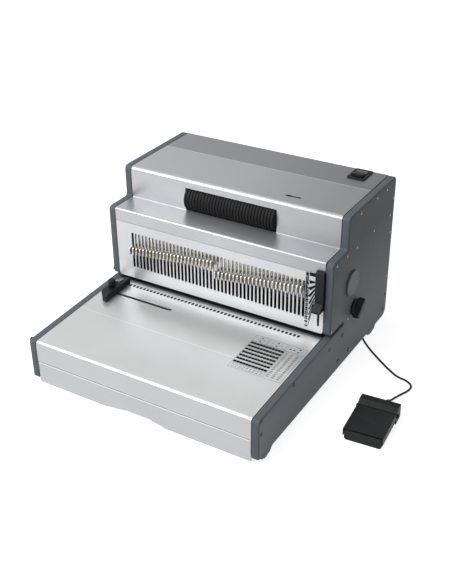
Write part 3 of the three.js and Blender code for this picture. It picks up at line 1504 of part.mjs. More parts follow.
// A tube of any centre line, closed at both ends, as one body
function tube(centres, radius, sides) {
  const up = new THREE.Vector3(0, 0, 1);
  const positions = [];
  const index = [];
  centres.forEach((centre, i) => {
    const ahead = centres[Math.min(i + 1, centres.length - 1)];
    const behind = centres[Math.max(i - 1, 0)];
    const along = ahead.clone().sub(behind).normalize();
    const across = new THREE.Vector3().crossVectors(along, up).normalize();
    const over = new THREE.Vector3().crossVectors(across, along);
    for (let k = 0; k < sides; k += 1) {
      const a = 2 * Math.PI * (k + 0.5) / sides;
      const p = centre.clone()
        .addScaledVector(across, radius * Math.cos(a))
        .addScaledVector(over, radius * Math.sin(a));
      positions.push(p.x, p.y, p.z);
    }
  });
  const last = centres.length - 1;
  for (let i = 0; i < last; i += 1) {
    for (let k = 0; k < sides; k += 1) {
      const a = i * sides + k;
      const b = i * sides + (k + 1) % sides;
      index.push(a, b + sides, b, a, a + sides, b + sides);
    }
  }
  for (let k = 1; k < sides - 1; k += 1) {
    index.push(0, k, k + 1);
    index.push(last * sides, last * sides + k + 1, last * sides + k);
  }
  const geometry = new THREE.BufferGeometry();
  geometry.setAttribute('position', new THREE.Float32BufferAttribute(positions, 3));
  geometry.setIndex(index);
  geometry.computeVertexNormals();
  return geometry;
}

// The least distance between two stretches of one centre line that are over a turn's quarter apart
function leastGap(centres, radius, skip) {
  let least = Infinity;
  for (let i = 0; i < centres.length; i += 1) {
    for (let j = i + skip; j < centres.length; j += 1) {
      least = Math.min(least, centres[i].distanceTo(centres[j]));
    }
  }
  return least - 2 * radius;
}

// Pedal spring
const springLow = baseTop + seatGap + springWire;
const springHigh = plateTopAt(springY) - pedalWall - seatGap - springWire;
const springCentres = Array.from({ length: springTurns * springSteps + 1 }, (_, k) => {
  const turn = k / springSteps;
  const a = 2 * Math.PI * turn;
  return new THREE.Vector3(
    pedalWidth / 2 + springRadius * Math.cos(a),
    springY + springRadius * Math.sin(a),
    springLow + (springHigh - springLow) * turn / springTurns,
  );
});
place('pedal_spring', tube(springCentres, springWire, springSides), steelColour, 0.3, 0.9, pedal);

// Pedal cord: out of the pedal, round in a loose bend, under the machine and into its coil
const cordRadius = cordDiameter / 2;
const cordHeight = cordRadius + cordLift;
const turnBack = radians(pedalTurn);
const reliefEnd = pedalLength + seatGap + reliefLength + seatGap;
const cordStart = new THREE.Vector3(
  pedalX + reliefX * Math.cos(turnBack) - reliefEnd * Math.sin(turnBack),
  pedalY + reliefX * Math.sin(turnBack) + reliefEnd * Math.cos(turnBack),
  reliefZ,
);
const coilPitch = cordDiameter + coilGap;
const coilMiddle = coilTurns / 2;
const coilInnerRadius = coilOuterRadius - coilPitch * coilMiddle;
const coilCentres = [new THREE.Vector3(coilX + coilOuterRadius, coilY - cordDiameter, cordHeight)];
for (let k = 0; k <= coilTurns * coilSteps; k += 1) {
  const turn = k / coilSteps;
  const a = 2 * Math.PI * turn;
  const r = coilInnerRadius + coilPitch * Math.abs(turn - coilMiddle);
  const climb = THREE.MathUtils.smoothstep(
    turn, coilMiddle - coilClimbShare / 2, coilMiddle + coilClimbShare / 2,
  );
  const [x, y] = [coilX + r * Math.cos(a), coilY + r * Math.sin(a)];
  coilCentres.push(new THREE.Vector3(x, y, cordHeight + coilPitch * climb));
}
coilCentres.push(new THREE.Vector3(coilX - coilOuterRadius, coilY - cordDiameter, cordHeight + coilPitch));
cordMeshes.push(place('pedal_cord_coil', tube(coilCentres, cordRadius, coilSides), blackColour, 0.6, 0));
const leastCoilGap = leastGap(coilCentres, cordRadius, Math.round(coilSteps / 4));
console.log(`coil: least gap to itself ${leastCoilGap.toFixed(2)} mm`);

const runPoints = [
  [0.02, 4, 0], [0.1, 9, -3.2], [1.2, 15, -6.2], [3.4, 24, -7.25], [8, 36, -7.25], [13.5, 50, -7.25],
  [13, 62, -7.25], [3, 70, -7.25], [-13, 74, -7.25], [-27, 82, -7.25], [-45, 95, -7.25], [-60, 106.5, -7.25],
  [-74, 118, -7.25], [-88, 131, -7.25], [-98, 142, -7.25], [-112, 156, -7.25], [-128, 174, -7.25],
  [-144, 196, -7.25], [-156, 216, -7.25], [-162.5, 236, -7.25], [-163.5, 252, -7.25],
];
const runStart = [cordStart.clone(), ...runPoints.map(([x, y, z]) => (
  new THREE.Vector3(cordStart.x + x, cordStart.y + y, cordStart.z + z)
))];
const runEnd = new THREE.Vector3(coilX + coilOuterRadius, coilY - cordDiameter - seatGap, cordHeight);
const runBefore = new THREE.Vector3(runEnd.x, runEnd.y - 2 * cordDiameter, cordHeight);
const runPath = new THREE.CatmullRomCurve3([...runStart, runBefore, runEnd], false, 'centripetal');
const runSteps = Math.round(runPath.getLength() / (cordStepShare * cordDiameter));
function cordTube(path, steps) {
  const section = new THREE.Shape(circle(0, 0, cordRadius, cordSides));
  return new THREE.ExtrudeGeometry(section, { extrudePath: path, steps, bevelEnabled: false });
}
cordMeshes.push(place('pedal_cord_run', cordTube(runPath, runSteps), blackColour, 0.6, 0));

const tailStart = new THREE.Vector3(glandX, glandTip + seatGap, glandZ);
const tailEnd = new THREE.Vector3(glandX, coilY - cordDiameter - seatGap, cordHeight + coilPitch);
const tailSpan = tailEnd.y - tailStart.y;
const tailDrop = tailEnd.z - tailStart.z;
const tailShares = [[0, 0], [0.15, 0.01], [0.32, 0.14], [0.5, 0.45], [0.7, 0.84], [0.86, 0.98], [1, 1]];
const tailPath = new THREE.CatmullRomCurve3(tailShares.map(([alongShare, dropShare]) => (
  new THREE.Vector3(glandX, tailStart.y + tailSpan * alongShare, tailStart.z + tailDrop * dropShare)
)), false, 'centripetal');
const tailSteps = Math.round(tailPath.getLength() / (cordStepShare * cordDiameter / 2));
cordMeshes.push(place('pedal_cord_tail', cordTube(tailPath, tailSteps), blackColour, 0.6, 0));

// The origin is the middle of the footprint, without the cord
machine.updateMatrixWorld(true);
const footprint = new THREE.Box3();
machine.traverse((piece) => {
  if (piece.isMesh && !cordMeshes.includes(piece)) footprint.expandByObject(piece, true);
});
machine.position.set(
  -(footprint.min.x + footprint.max.x) / 2,
  -(footprint.min.y + footprint.max.y) / 2,
  -footprint.min.z,
);
machine.updateMatrixWorld(true);

export default machine;
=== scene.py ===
import functools
import json
import math
import bpy
from mathutils import Matrix, Vector


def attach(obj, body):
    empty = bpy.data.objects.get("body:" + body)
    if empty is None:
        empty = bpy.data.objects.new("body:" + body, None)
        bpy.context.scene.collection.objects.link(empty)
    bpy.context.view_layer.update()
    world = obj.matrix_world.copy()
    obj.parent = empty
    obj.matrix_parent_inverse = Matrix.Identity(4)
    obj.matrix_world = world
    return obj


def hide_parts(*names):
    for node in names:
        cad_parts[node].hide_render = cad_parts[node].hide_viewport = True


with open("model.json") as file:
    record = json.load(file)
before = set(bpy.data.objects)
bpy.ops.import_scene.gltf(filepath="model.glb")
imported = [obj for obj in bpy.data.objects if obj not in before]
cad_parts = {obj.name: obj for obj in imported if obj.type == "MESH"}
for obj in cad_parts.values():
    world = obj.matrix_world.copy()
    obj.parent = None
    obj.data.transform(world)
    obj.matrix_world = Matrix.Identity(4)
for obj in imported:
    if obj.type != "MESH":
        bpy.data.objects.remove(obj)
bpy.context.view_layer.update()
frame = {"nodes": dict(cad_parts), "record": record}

scene = bpy.context.scene

# The machine's own millimetres start between the panels (X), at the front (Y) and on the floor (Z)
X, Y, Z = range(3)
ORIGIN_X, ORIGIN_Y = 62.56, 214.65  # of the row frame
PANEL_FACE, REAR_FACE, TOP_FACE = 189, 414, 247.8
HOUSING_FRONT, SHEET_FRONT = 204, 204.2  # the front sheet lies a little behind the edges of the panels
TABLE_FRONT_HEIGHT, TABLE_RISE = 70.8, 7
SLOT_START, SLOT_PITCH, SLOT_COUNT = -146.1, 6.35, 47


def at(x, y, z):
    """A point of the machine's own millimetres in the metres of the row frame."""
    return Vector(((x - ORIGIN_X) / 1000, (y - ORIGIN_Y) / 1000, z / 1000))


# Camera
def make_camera():
    place, azimuth, elevation, roll = (636.7, -810.9, 808.7), 31.346, 30.59, -0.777
    focal, picture_height = 936.7, 584  # pixels
    a, e, r = (math.radians(v) for v in (azimuth, elevation, roll))
    look = Vector((-math.sin(a) * math.cos(e), math.cos(a) * math.cos(e), -math.sin(e)))
    right = look.cross(Vector((0, 0, 1))).normalized()
    up = right.cross(look)
    side = math.cos(r) * right + math.sin(r) * up
    top = -math.sin(r) * right + math.cos(r) * up
    data = bpy.data.cameras.new("camera")
    data.sensor_fit = "AUTO"
    data.sensor_width = 36
    data.lens = focal * data.sensor_width / picture_height
    data.clip_start, data.clip_end = 0.05, 50
    cam = bpy.data.objects.new("camera", data)
    scene.collection.objects.link(cam)
    turn = Matrix((side, top, -look)).transposed()
    cam.matrix_world = Matrix.Translation(at(*place)) @ turn.to_4x4()
    scene.camera = cam


make_camera()


# Pedal cord
def pedal_point(x, y, z):
    """A point counted from the pedal's own front left corner."""
    corner_x, corner_y, t = 258.3, 103.3, math.radians(4.5)
    return (corner_x + x * math.cos(t) - y * math.sin(t), corner_y + x * math.sin(t) + y * math.cos(t), z)


def cord_points():
    """The route out of the pedal, under the machine, through a flat coil behind it and into the gland."""
    gap, pedal_length, relief_length, relief_x, relief_z = 0.3, 78, 13, 31, 9
    start = pedal_point(relief_x, pedal_length + gap + relief_length + gap, relief_z)
    low, high, down = 1.75, 5.45, -7.25  # the coil's two layers, and the way down from the relief
    steps = [(0, 0, 0), (0.02, 4, 0), (0.1, 9, -3.2), (1.2, 15, -6.2), (3.4, 24, down), (8, 36, down),
             (13.5, 50, down), (13, 62, down), (3, 70, down), (-13, 74, down), (-27, 82, down),
             (-45, 95, down), (-60, 106.5, down), (-74, 118, down), (-88, 131, down), (-98, 142, down),
             (-112, 156, down), (-128, 174, down), (-144, 196, down), (-156, 216, down),
             (-162.5, 236, down), (-163.5, 252, down)]
    route = [tuple(s + d for s, d in zip(start, step)) for step in steps]

    coil_x, coil_y, outer, pitch = 92, 462, 26.5, 3.7
    turns, turn_steps, climb_turns = 9.5, 18, 0.5
    middle = turns / 2
    inner = outer - pitch * middle
    for k in range(int(turns * turn_steps) + 1):
        turn = k / turn_steps
        r = inner + pitch * abs(turn - middle)
        share = min(1, max(0, (turn - middle + climb_turns / 2) / climb_turns))
        climb = share * share * (3 - 2 * share)
        a = 2 * math.pi * turn
        route.append((coil_x + r * math.cos(a), coil_y + r * math.sin(a), low + pitch * climb))

    diameter, gland_x, gland_z, gland_tip = 3.2, 65.5, 18, 429.6
    tip, end = gland_tip + gap, coil_y - diameter
    for along, drop in reversed([(0, 0), (0.15, 0.01), (0.32, 0.14), (0.5, 0.45), (0.7, 0.84), (0.86, 0.98)]):
        route.append((gland_x, tip + (end - tip) * along, gland_z + (high - gland_z) * drop))
    return [at(*p) for p in route]


def make_cord():
    radius = 0.0016
    points = cord_points()
    data = bpy.data.curves.new("pedal_cord", "CURVE")
    data.dimensions = "3D"
    data.resolution_u = 6
    data.bevel_depth = 1  # times the radius of each point, which the curve's box counts in metres
    data.bevel_resolution = 4
    spline = data.splines.new("BEZIER")
    spline.bezier_points.add(len(points) - 1)
    for p, co in zip(spline.bezier_points, points):
        p.co, p.radius = co, radius
        p.handle_left_type = p.handle_right_type = "AUTO"
    obj = bpy.data.objects.new("pedal_cord", data)
    scene.collection.objects.link(obj)
    bpy.context.view_layer.update()
    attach(obj, "frame")
    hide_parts("pedal_cord_run", "pedal_cord_coil", "pedal_cord_tail")
    return obj


cord = make_cord()


# Materials
def shade(hexcode):
    """A display colour, 0xrrggbb, as linear light."""
    parts = [(hexcode >> s & 255) / 255 for s in (16, 8, 0)]
    return [c / 12.92 if c <= 0.04045 else ((c + 0.055) / 1.055) ** 2.4 for c in parts]


class Nodes:
    """A short way to write node trees."""

    def __init__(self, material):
        material.use_nodes = True
        self.tree = material.node_tree
        self.tree.nodes.clear()

    def put(self, node, key, value):
        if isinstance(value, bpy.types.NodeSocket):
            self.tree.links.new(value, node.inputs[key])
        else:
            node.inputs[key].default_value = value

    def add(self, kind, links=None, **settings):
        node = self.tree.nodes.new(kind)
        for key, value in settings.items():
            setattr(node, key, value)
        for key, value in (links or {}).items():
            self.put(node, key, value)
        return node

    def math(self, operation, a, b=0.0, clamp=False):
        return self.add("ShaderNodeMath", {0: a, 1: b}, operation=operation, use_clamp=clamp).outputs[0]

    def times(self, a, b):
        return self.math("MULTIPLY", a, b)

    def span(self, value, low, high, to_low, to_high):
        """A value that runs from low to high, as one that runs from to_low to to_high."""
        node = self.add("ShaderNodeMapRange", {0: value, 1: low, 2: high, 3: to_low, 4: to_high})
        return node.outputs[0]

    def blend(self, share, a, b):
        """Colour a, with that share of colour b in it."""
        node = self.add("ShaderNodeMix", data_type="RGBA", blend_type="MIX")
        self.put(node, 0, share)
        for key, colour in ((6, a), (7, b)):
            self.put(node, key, (*colour, 1) if isinstance(colour, list) else colour)
        return node.outputs[2]

    def noise(self, scale, stretch=(1, 1, 1), detail=2.0):
        where = self.add("ShaderNodeTexCoord").outputs["Object"]
        where = self.add("ShaderNodeMapping", {"Vector": where, "Scale": stretch}).outputs[0]
        links = {"Vector": where, "Scale": scale, "Detail": detail, "Roughness": 0.5}
        return self.add("ShaderNodeTexNoise", links).outputs["Fac"]

    def place(self, axis):
        """One coordinate of the surface in the machine's own millimetres."""
        where = self.add("ShaderNodeTexCoord").outputs["Object"]
        value = self.add("ShaderNodeSeparateXYZ", {0: where}).outputs[axis]
        return self.span(value, at(0, 0, 0)[axis], at(1000, 1000, 1000)[axis], 0, 1000)

    def facing(self, axis):
        """How far the surface faces along one axis, either way."""
        normal = self.add("ShaderNodeTexCoord").outputs["Normal"]
        return self.math("ABSOLUTE", self.add("ShaderNodeSeparateXYZ", {0: normal}).outputs[axis])

    def line(self, axis, place, width):
        """1 on a thin line across the surface, fading to 0 at its sides."""
        off = self.math("ABSOLUTE", self.math("SUBTRACT", self.place(axis), place))
        return self.span(off, width / 2, width, 1, 0)

    def between(self, axis, low, high, soft):
        """1 on a band of the surface, fading to 0 over the soft width beside it."""
        rise = self.span(self.place(axis), low - soft, low, 0, 1)
        return self.times(rise, self.span(self.place(axis), high, high + soft, 1, 0))

    def finish(self, shader, kind="Material"):
        self.add("ShaderNodeOutput" + kind, {"Surface": shader})


NOISE = (0.3, 0.7)  # what most of a noise lies between
GRAIN_SHADE = 0.75  # the grain's colour over the plain one
RELIEF = 0.0002
DUST_SCALE, DUST_COLOUR = 60, 0xB9B6AE


def make(name, colour, rough, metal=0.0, vary=0.08, size=0.02, grain=0.0006, stretch=(1, 1, 1), bump=0.08,
         rough_vary=0.08, dust=0.0, paint=None, **sockets):
    """A surface with a slow colour drift of that size, and a fine grain for its roughness and relief."""
    material = bpy.data.materials.new(name)
    n = Nodes(material)
    base = shade(colour)
    slow = n.noise(1 / size)
    fine = n.noise(1 / grain, stretch)
    dark, light = [c * (1 - vary) for c in base], [min(1, c * (1 + vary)) for c in base]
    tint = n.blend(n.span(slow, *NOISE, 0, 1), dark, light)
    tint = n.blend(n.span(fine, *NOISE, 0, vary), tint, [c * GRAIN_SHADE for c in base])
    roughness = n.span(fine, *NOISE, rough - rough_vary, rough + rough_vary)
    if paint:
        tint = paint(n, tint)
    if dust:
        specks = n.span(n.noise(DUST_SCALE, detail=4.0), 0.5, 0.8, 0, dust)
        tint = n.blend(specks, tint, shade(DUST_COLOUR))
    relief = n.add("ShaderNodeBump", {"Height": fine, "Strength": bump, "Distance": RELIEF}).outputs[0]
    shader = n.add("ShaderNodeBsdfPrincipled", {
        "Base Color": tint, "Roughness": roughness, "Metallic": metal, "Normal": relief, **sockets})
    n.finish(shader.outputs[0])
    return material


# Colours that change with the place on a surface, over a plain tint; most of them are painted light, shade
# and highlights
def table_paint(n, tint):
    """Painted shade: a greyer lower front apron, and shade in front of the housing standing for the dark
    throat's reflection; a painted highlight along the crease across the plate.
    """
    apron_top, round_top, shade_start, crease_y = 68, 70.5, 186, 103
    # The apron's grey and the shade before the housing are painted shade; the crease line is a painted
    # highlight
    apron = n.span(n.place(Z), apron_top, round_top, 0.5, 0)
    shaded = n.span(n.place(Y), shade_start, HOUSING_FRONT, 0, 0.7)
    crease = n.times(n.line(Y, crease_y, 0.9), 0.55)
    tint = n.blend(apron, tint, shade(0xA9AAAD))
    tint = n.blend(shaded, tint, shade(0x505052))
    return n.blend(crease, tint, shade(0xF4F4F4))


def top_paint(n, tint):
    """Painted shade darker towards the right, and on top a darker rear strip behind a painted highlight along
    the crease.
    """
    crease_y, strip_y = 347.4, 347.5
    on_top = n.span(n.place(Z), 243, 246, 0, 1)
    # Painted shade towards the right, below and on top; the crease line is a painted highlight
    painted_shade_right = n.span(n.place(X), -60, 177, 0, 0.55)
    painted_shade_right_top = n.span(n.place(X), -120, 150, 0, 1)
    rear = n.times(n.span(n.place(Y), strip_y, strip_y + 1, 0, 0.55), on_top)
    crease = n.times(n.times(n.line(Y, crease_y, 1.0), 0.5), on_top)
    tint = n.blend(painted_shade_right, tint, shade(0x88898C))
    tint = n.blend(on_top, tint, n.blend(painted_shade_right_top, shade(0xC6C7CA), shade(0xA3A4A7)))
    tint = n.blend(rear, tint, shade(0x77777A))
    return n.blend(crease, tint, shade(0xEDEDEE))


def slot_paint(n, tint):
    """Painted light at the foot, and painted shade, near black, in the slots and behind the sheet."""
    foot_top, slots_low, sheet_rear = 112, 102, 206
    # The light foot is painted light; the dark slot walls and the dark faces behind the sheet are painted
    # shade
    foot = n.span(n.place(Z), 96, foot_top, 0.5, 0)
    wall = n.times(n.span(n.facing(X), 0.5, 0.8, 0, 1), n.span(n.place(Z), slots_low - 1, slots_low, 0, 1))
    behind = n.span(n.place(Y), sheet_rear - 0.4, sheet_rear, 0, 1)
    tint = n.blend(foot, tint, shade(0xF2F3F5))
    return n.blend(n.math("MAXIMUM", wall, behind), tint, shade(0x161514))


def side_paint(n, tint):
    """Painted light and shade: the outer face runs from light below to dark above."""
    light_to, dark_from = 50, 200  # heights
    # Painted light and shade on the outer face, light below and dark above
    outer = n.span(n.facing(X), 0.8, 0.95, 0, 0.85)
    upward = n.span(n.place(Z), light_to, dark_from, 0, 1)
    return n.blend(outer, tint, n.blend(upward, shade(0x868B90), shade(0x424547)))


def drawer_paint(n, tint):
    """A painted highlight along the upper edge."""
    highlight_low, highlight_full = 34.9, 35.3
    # The light line is a painted highlight
    return n.blend(n.span(n.place(Z), highlight_low, highlight_full, 0, 0.75), tint, shade(0xFFFFFF))


def rocker_paint(n, tint):
    """A painted highlight: a grey field on the rear half."""
    field_front, field_rear, fade = 395.5, 400, 1.5
    # The grey field is a painted highlight
    return n.blend(n.times(n.between(Y, field_front, field_rear, fade), 0.8), tint, shade(0x6A6A74))


LEVEL = "Specular IOR Level"
DULL = {LEVEL: 0.3}
BRUSH = dict(grain=0.0009, stretch=(0.02, 1, 1), bump=0.015, rough_vary=0.03, vary=0.03, size=0.09)
PAINT = dict(grain=0.0007, bump=0.12, rough_vary=0.06, vary=0.05, size=0.03, dust=0.03, **DULL)
PLASTIC = dict(vary=0.12, grain=0.0005, bump=0.15, dust=0.015, **DULL)
PEDAL = dict(vary=0.1, grain=0.0008, bump=0.25, dust=0.02, **DULL)
looks = {slot: make(slot, *values, **rest) for slot, values, rest in (
    ("panel_paint", (0x565E64, 0.46, 0.0), PAINT),
    ("brushed_aluminium", (0xB9BABD, 0.36, 0.7), BRUSH),
    ("bare_steel", (0xA2A4A6, 0.36, 0.85), dict(grain=0.001, stretch=(1, 0.1, 1), vary=0.06)),
    ("dark_steel", (0x3C3F42, 0.42, 0.8), dict(grain=0.001, vary=0.12)),
    ("nickel", (0xC9C5BC, 0.26, 0.85), dict(grain=0.0008, vary=0.1, size=0.004, bump=0.04)),
    ("cast", (0x6B6E70, 0.6, 0.5), dict(grain=0.0012, bump=0.4, vary=0.12)),
    ("black_plastic", (0x0F1011, 0.5), PLASTIC),
    ("rubber", (0x101011, 0.7), dict(vary=0.14, grain=0.0006, bump=0.3, dust=0.02, **DULL)),
    ("brass", (0xB08D4A, 0.34, 0.85), dict(vary=0.1, grain=0.0008)),
    ("board", (0x2A6A45, 0.45), dict(vary=0.15, size=0.006, grain=0.0008)),
    ("motor_paint", (0x4A4D50, 0.45, 0.3), dict(vary=0.08)),
    ("pedal_paint", (0x17191A, 0.5), PEDAL),
)}
ink = make("ink", 0x0E0E10, 0.6, vary=0.1, size=0.004, **{LEVEL: 0.2})
grey_ink = make("grey_ink", 0x5E5C57, 0.6, vary=0.15, size=0.002)
zinc = make("zinc", 0xB4B5B7, 0.3, 0.85, vary=0.08, size=0.002, grain=0.0004)
black_screw = make("black_screw", 0x151618, 0.35, 0.4, vary=0.12, size=0.002, grain=0.0004)
own_looks = {
    "table_plate": make("table_sheet", 0xCFD0D0, 0.35, 0.7, paint=table_paint, **BRUSH),
    "top_cover": make("top_sheet", 0xC2C3C6, 0.35, 0.7, paint=top_paint, **BRUSH),
    "punch_front_cover": make("front_sheet", 0xD4D5D8, 0.36, 0.5, paint=slot_paint, **BRUSH),
    "power_rocker": make("rocker_plastic", 0x131415, 0.4, paint=rocker_paint, **PLASTIC),
    "chip_drawer_front": make("drawer_sheet", 0xBABBBE, 0.38, 0.7, paint=drawer_paint, **BRUSH),
    "pedal_base": make("pedal_base_paint", 0x0C0E0F, 0.55, **PEDAL),
    "pedal_hinge_pin": make("pin_paint", 0x0E0F10, 0.4, vary=0.1, grain=0.0008, **DULL),
}
own_looks["side_panel_left"] = own_looks["side_panel_right"] = make(
    "side_paint", 0x61696F, 0.5, 0.0, paint=side_paint, **{**PAINT, LEVEL: 0.12})


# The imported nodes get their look, and bevels along their sharp edges
SAME_POINT = 1e-6
FLAT_ANGLE, BEVEL_ANGLE, SHARP_ANGLE = (math.radians(a) for a in (0.5, 32, 36))
PLAIN_EDGE = (0.35, 2)  # a bevel in millimetres and its steps
EDGES = {
    "side_panel_left": (0.9, 3), "side_panel_right": (0.9, 3), "chip_drawer_front": (0.5, 2),
    "gauge_handle": (0.8, 3), "margin_knob": (1.2, 3), "guide_knob": (1.6, 4), "side_guide": (0.6, 3),
    "pedal_plate": (0.5, 3), "pedal_base": (0.4, 2), "switch_bezel": (0.7, 3), "power_rocker": (0.7, 3),
    "selector_01": (0.5, 3), "selector_02": (0.5, 3), "selector_46": (0.5, 3), "selector_47": (0.5, 3),
    "punch_bank": (0.5, 3), "side_cap": (0.6, 3),
}


def node_group(name, build):
    group = bpy.data.node_groups.new(name, "GeometryNodeTree")
    for way in ("INPUT", "OUTPUT"):
        group.interface.new_socket("Geometry", in_out=way, socket_type="NodeSocketGeometry")
    last = build(group, group.nodes.new("NodeGroupInput").outputs[0])
    group.links.new(last, group.nodes.new("NodeGroupOutput").inputs[0])
    return group


def join_faces(group, geometry):
    """Joins the points that coincide, and drops the normals that came with them."""
    merge = group.nodes.new("GeometryNodeMergeByDistance")
    merge.inputs["Distance"].default_value = SAME_POINT
    drop = group.nodes.new("GeometryNodeRemoveAttribute")
    drop.inputs["Name"].default_value = "custom_normal"
    group.links.new(geometry, merge.inputs[0])
    group.links.new(merge.outputs[0], drop.inputs[0])
    return drop.outputs[0]


def smooth_faces(group, geometry):
    """Shades the faces smooth, with a hard line along each sharp edge."""
    whole = group.nodes.new("GeometryNodeSetShadeSmooth")
    whole.domain = "FACE"
    edges = group.nodes.new("GeometryNodeSetShadeSmooth")
    edges.domain = "EDGE"
    edges.inputs["Shade Smooth"].default_value = False
    angle = group.nodes.new("GeometryNodeInputMeshEdgeAngle")
    sharp = group.nodes.new("FunctionNodeCompare")
    sharp.inputs[1].default_value = SHARP_ANGLE
    group.links.new(angle.outputs[0], sharp.inputs[0])
    group.links.new(sharp.outputs[0], edges.inputs["Selection"])
    group.links.new(geometry, whole.inputs[0])
    group.links.new(whole.outputs[0], edges.inputs[0])
    return edges.outputs[0]


joined = node_group("join_faces", join_faces)
smoothed = node_group("smooth_faces", smooth_faces)


def dress_nodes():
    slots = {part["node"]: part["material_slot"] for part in frame["record"]["subparts"]}
    for name, obj in frame["nodes"].items():
        obj.data.materials.clear()
        obj.data.materials.append(own_looks.get(name, looks[slots[name]]))
        obj.modifiers.new("join", "NODES").node_group = joined
        flat = obj.modifiers.new("flat", "DECIMATE")
        flat.decimate_type = "DISSOLVE"
        flat.angle_limit = FLAT_ANGLE
        width, steps = EDGES.get(name, PLAIN_EDGE)
        bevel = obj.modifiers.new("edges", "BEVEL")
        bevel.width, bevel.segments = width / 1000, steps
        bevel.limit_method = "ANGLE"
        bevel.angle_limit = BEVEL_ANGLE
        bevel.use_clamp_overlap = False
        obj.modifiers.new("smooth", "NODES").node_group = smoothed
        even = obj.modifiers.new("even", "WEIGHTED_NORMAL")
        even.keep_sharp = True


dress_nodes()
cord.data.materials.append(looks["black_plastic"])


# Tools for the pieces
INK_LOW, INK_HIGH, INK_RISE = 0.01, 0.07, 0.06  # a printed mark above its surface
PLAIN, BOLD = 0.025, 0.09  # how far figures are thickened, over their size


def circle(count):
    """Angles once round."""
    return [2 * math.pi * k / count for k in range(count)]


class Plane:
    """A surface to build on, given by a point and two directions in it."""

    def __init__(self, origin, u, v):
        self.origin, self.u, self.v = Vector(origin), Vector(u).normalized(), Vector(v).normalized()
        self.n = self.u.cross(self.v)

    def __call__(self, a, b, h=0.0):
        return tuple(self.origin + a * self.u + b * self.v + h * self.n)


class Shape:
    """The faces of one piece, in the machine's own millimetres; kind is the number of their material."""

    def __init__(self):
        self.points, self.faces, self.kinds = [], [], []

    def add(self, points, faces, kind=0):
        base = len(self.points)
        self.points += [at(*p) for p in points]
        self.faces += [tuple(base + i for i in face) for face in faces]
        self.kinds += [kind] * len(faces)

    def slab(self, plane, outline, kind=0):
        """A printed mark with that outline, counted the left way round."""
        n = len(outline)
        points = [plane(a, b, h) for h in (INK_LOW, INK_HIGH) for a, b in outline]
        faces = [tuple(range(n - 1, -1, -1)), tuple(range(n, 2 * n))]
        faces += [(i, (i + 1) % n, n + (i + 1) % n, n + i) for i in range(n)]
        self.add(points, faces, kind)

    def bar(self, plane, a0, b0, a1, b1, kind=0):
        self.slab(plane, [(a0, b0), (a1, b0), (a1, b1), (a0, b1)], kind)

    def oval(self, plane, a, b, across, along):
        steps = 14
        self.slab(plane, [(a + across / 2 * math.cos(t), b + along / 2 * math.sin(t)) for t in circle(steps)])

    def stroke(self, plane, start, end, wide, narrow):
        """A straight line that is wide at its start and narrow at its end."""
        s, e = Vector(start), Vector(end)
        side = Vector((s.y - e.y, e.x - s.x)).normalized() / 2
        self.slab(plane, [s + side * wide, e + side * narrow, e - side * narrow, s - side * wide])

    def ring(self, plane, a, b, outer, inner):
        count = 16
        points = [plane(a + r * math.cos(t), b + r * math.sin(t), h)
                  for h in (INK_LOW, INK_HIGH) for r in (inner, outer) for t in circle(count)]
        inner_low, outer_low, inner_high, outer_high = (k * count for k in range(4))
        faces = []
        for i in range(count):
            j = (i + 1) % count
            faces += [(outer_low + i, outer_low + j, outer_high + j, outer_high + i),
                      (inner_low + j, inner_low + i, inner_high + i, inner_high + j),
                      (inner_high + i, outer_high + i, outer_high + j, inner_high + j),
                      (outer_low + i, inner_low + i, inner_low + j, outer_low + j)]
        self.add(points, faces)

    def words(self, plane, text, a, b, height, quarter=0, kind=0, weight=PLAIN):
        """Printed figures centred on a point of the plane, turned by quarter turns."""
        points, faces = glyphs(text, weight)
        c, s = ((1, 0), (0, 1), (-1, 0), (0, -1))[quarter % 4]
        self.add([plane(a + (x * c - y * s) * height, b + (x * s + y * c) * height, INK_LOW + INK_RISE * z)
                  for x, y, z in points], faces, kind)

    def turned(self, plane, profile, steps, kind=0, closed=False, dip=None):
        """A round form about the plane's normal, from (radius, height) pairs; dip lowers single points."""
        points = []
        for i, (r, h) in enumerate(profile):
            points += [plane(r * math.cos(t), r * math.sin(t), h + (dip(i, k) if dip else 0))
                       for k, t in enumerate(circle(steps))]
        faces = []
        rows = len(profile)
        for i in range(rows if closed else rows - 1):
            for k in range(steps):
                a, b = i * steps, (i + 1) % rows * steps
                faces.append((a + k, a + (k + 1) % steps, b + (k + 1) % steps, b + k))
        if not closed:
            faces.append(tuple(range(steps - 1, -1, -1)))
            faces.append(tuple((rows - 1) * steps + k for k in range(steps)))
        self.add(points, faces, kind)

    def helix(self, centre, radius, wire, low, high, turns):
        """A round wire wound about an upright line."""
        steps, sides = 20, 8
        count = int(turns * steps)
        points = []
        for k in range(count + 1):
            a = 2 * math.pi * k / steps
            for t in circle(sides):
                r = radius + wire * math.cos(t)
                z = low + (high - low) * k / count + wire * math.sin(t)
                points.append((centre[0] + r * math.cos(a), centre[1] + r * math.sin(a), z))
        faces = [tuple(range(sides)), tuple(count * sides + s for s in range(sides - 1, -1, -1))]
        for k in range(count):
            i, j = k * sides, (k + 1) * sides
            faces += [(j + s, j + (s + 1) % sides, i + (s + 1) % sides, i + s) for s in range(sides)]
        self.add(points, faces)

    def piece(self, name, body, slot_name, *materials, smooth=False):
        mesh = bpy.data.meshes.new(name)
        mesh.from_pydata(self.points, [], self.faces)
        for material in materials:
            mesh.materials.append(material)
        mesh.polygons.foreach_set("material_index", self.kinds)
        obj = bpy.data.objects.new(name, mesh)
        scene.collection.objects.link(obj)
        if smooth:
            obj.modifiers.new("smooth", "NODES").node_group = smoothed
        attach(obj, body)
        return obj


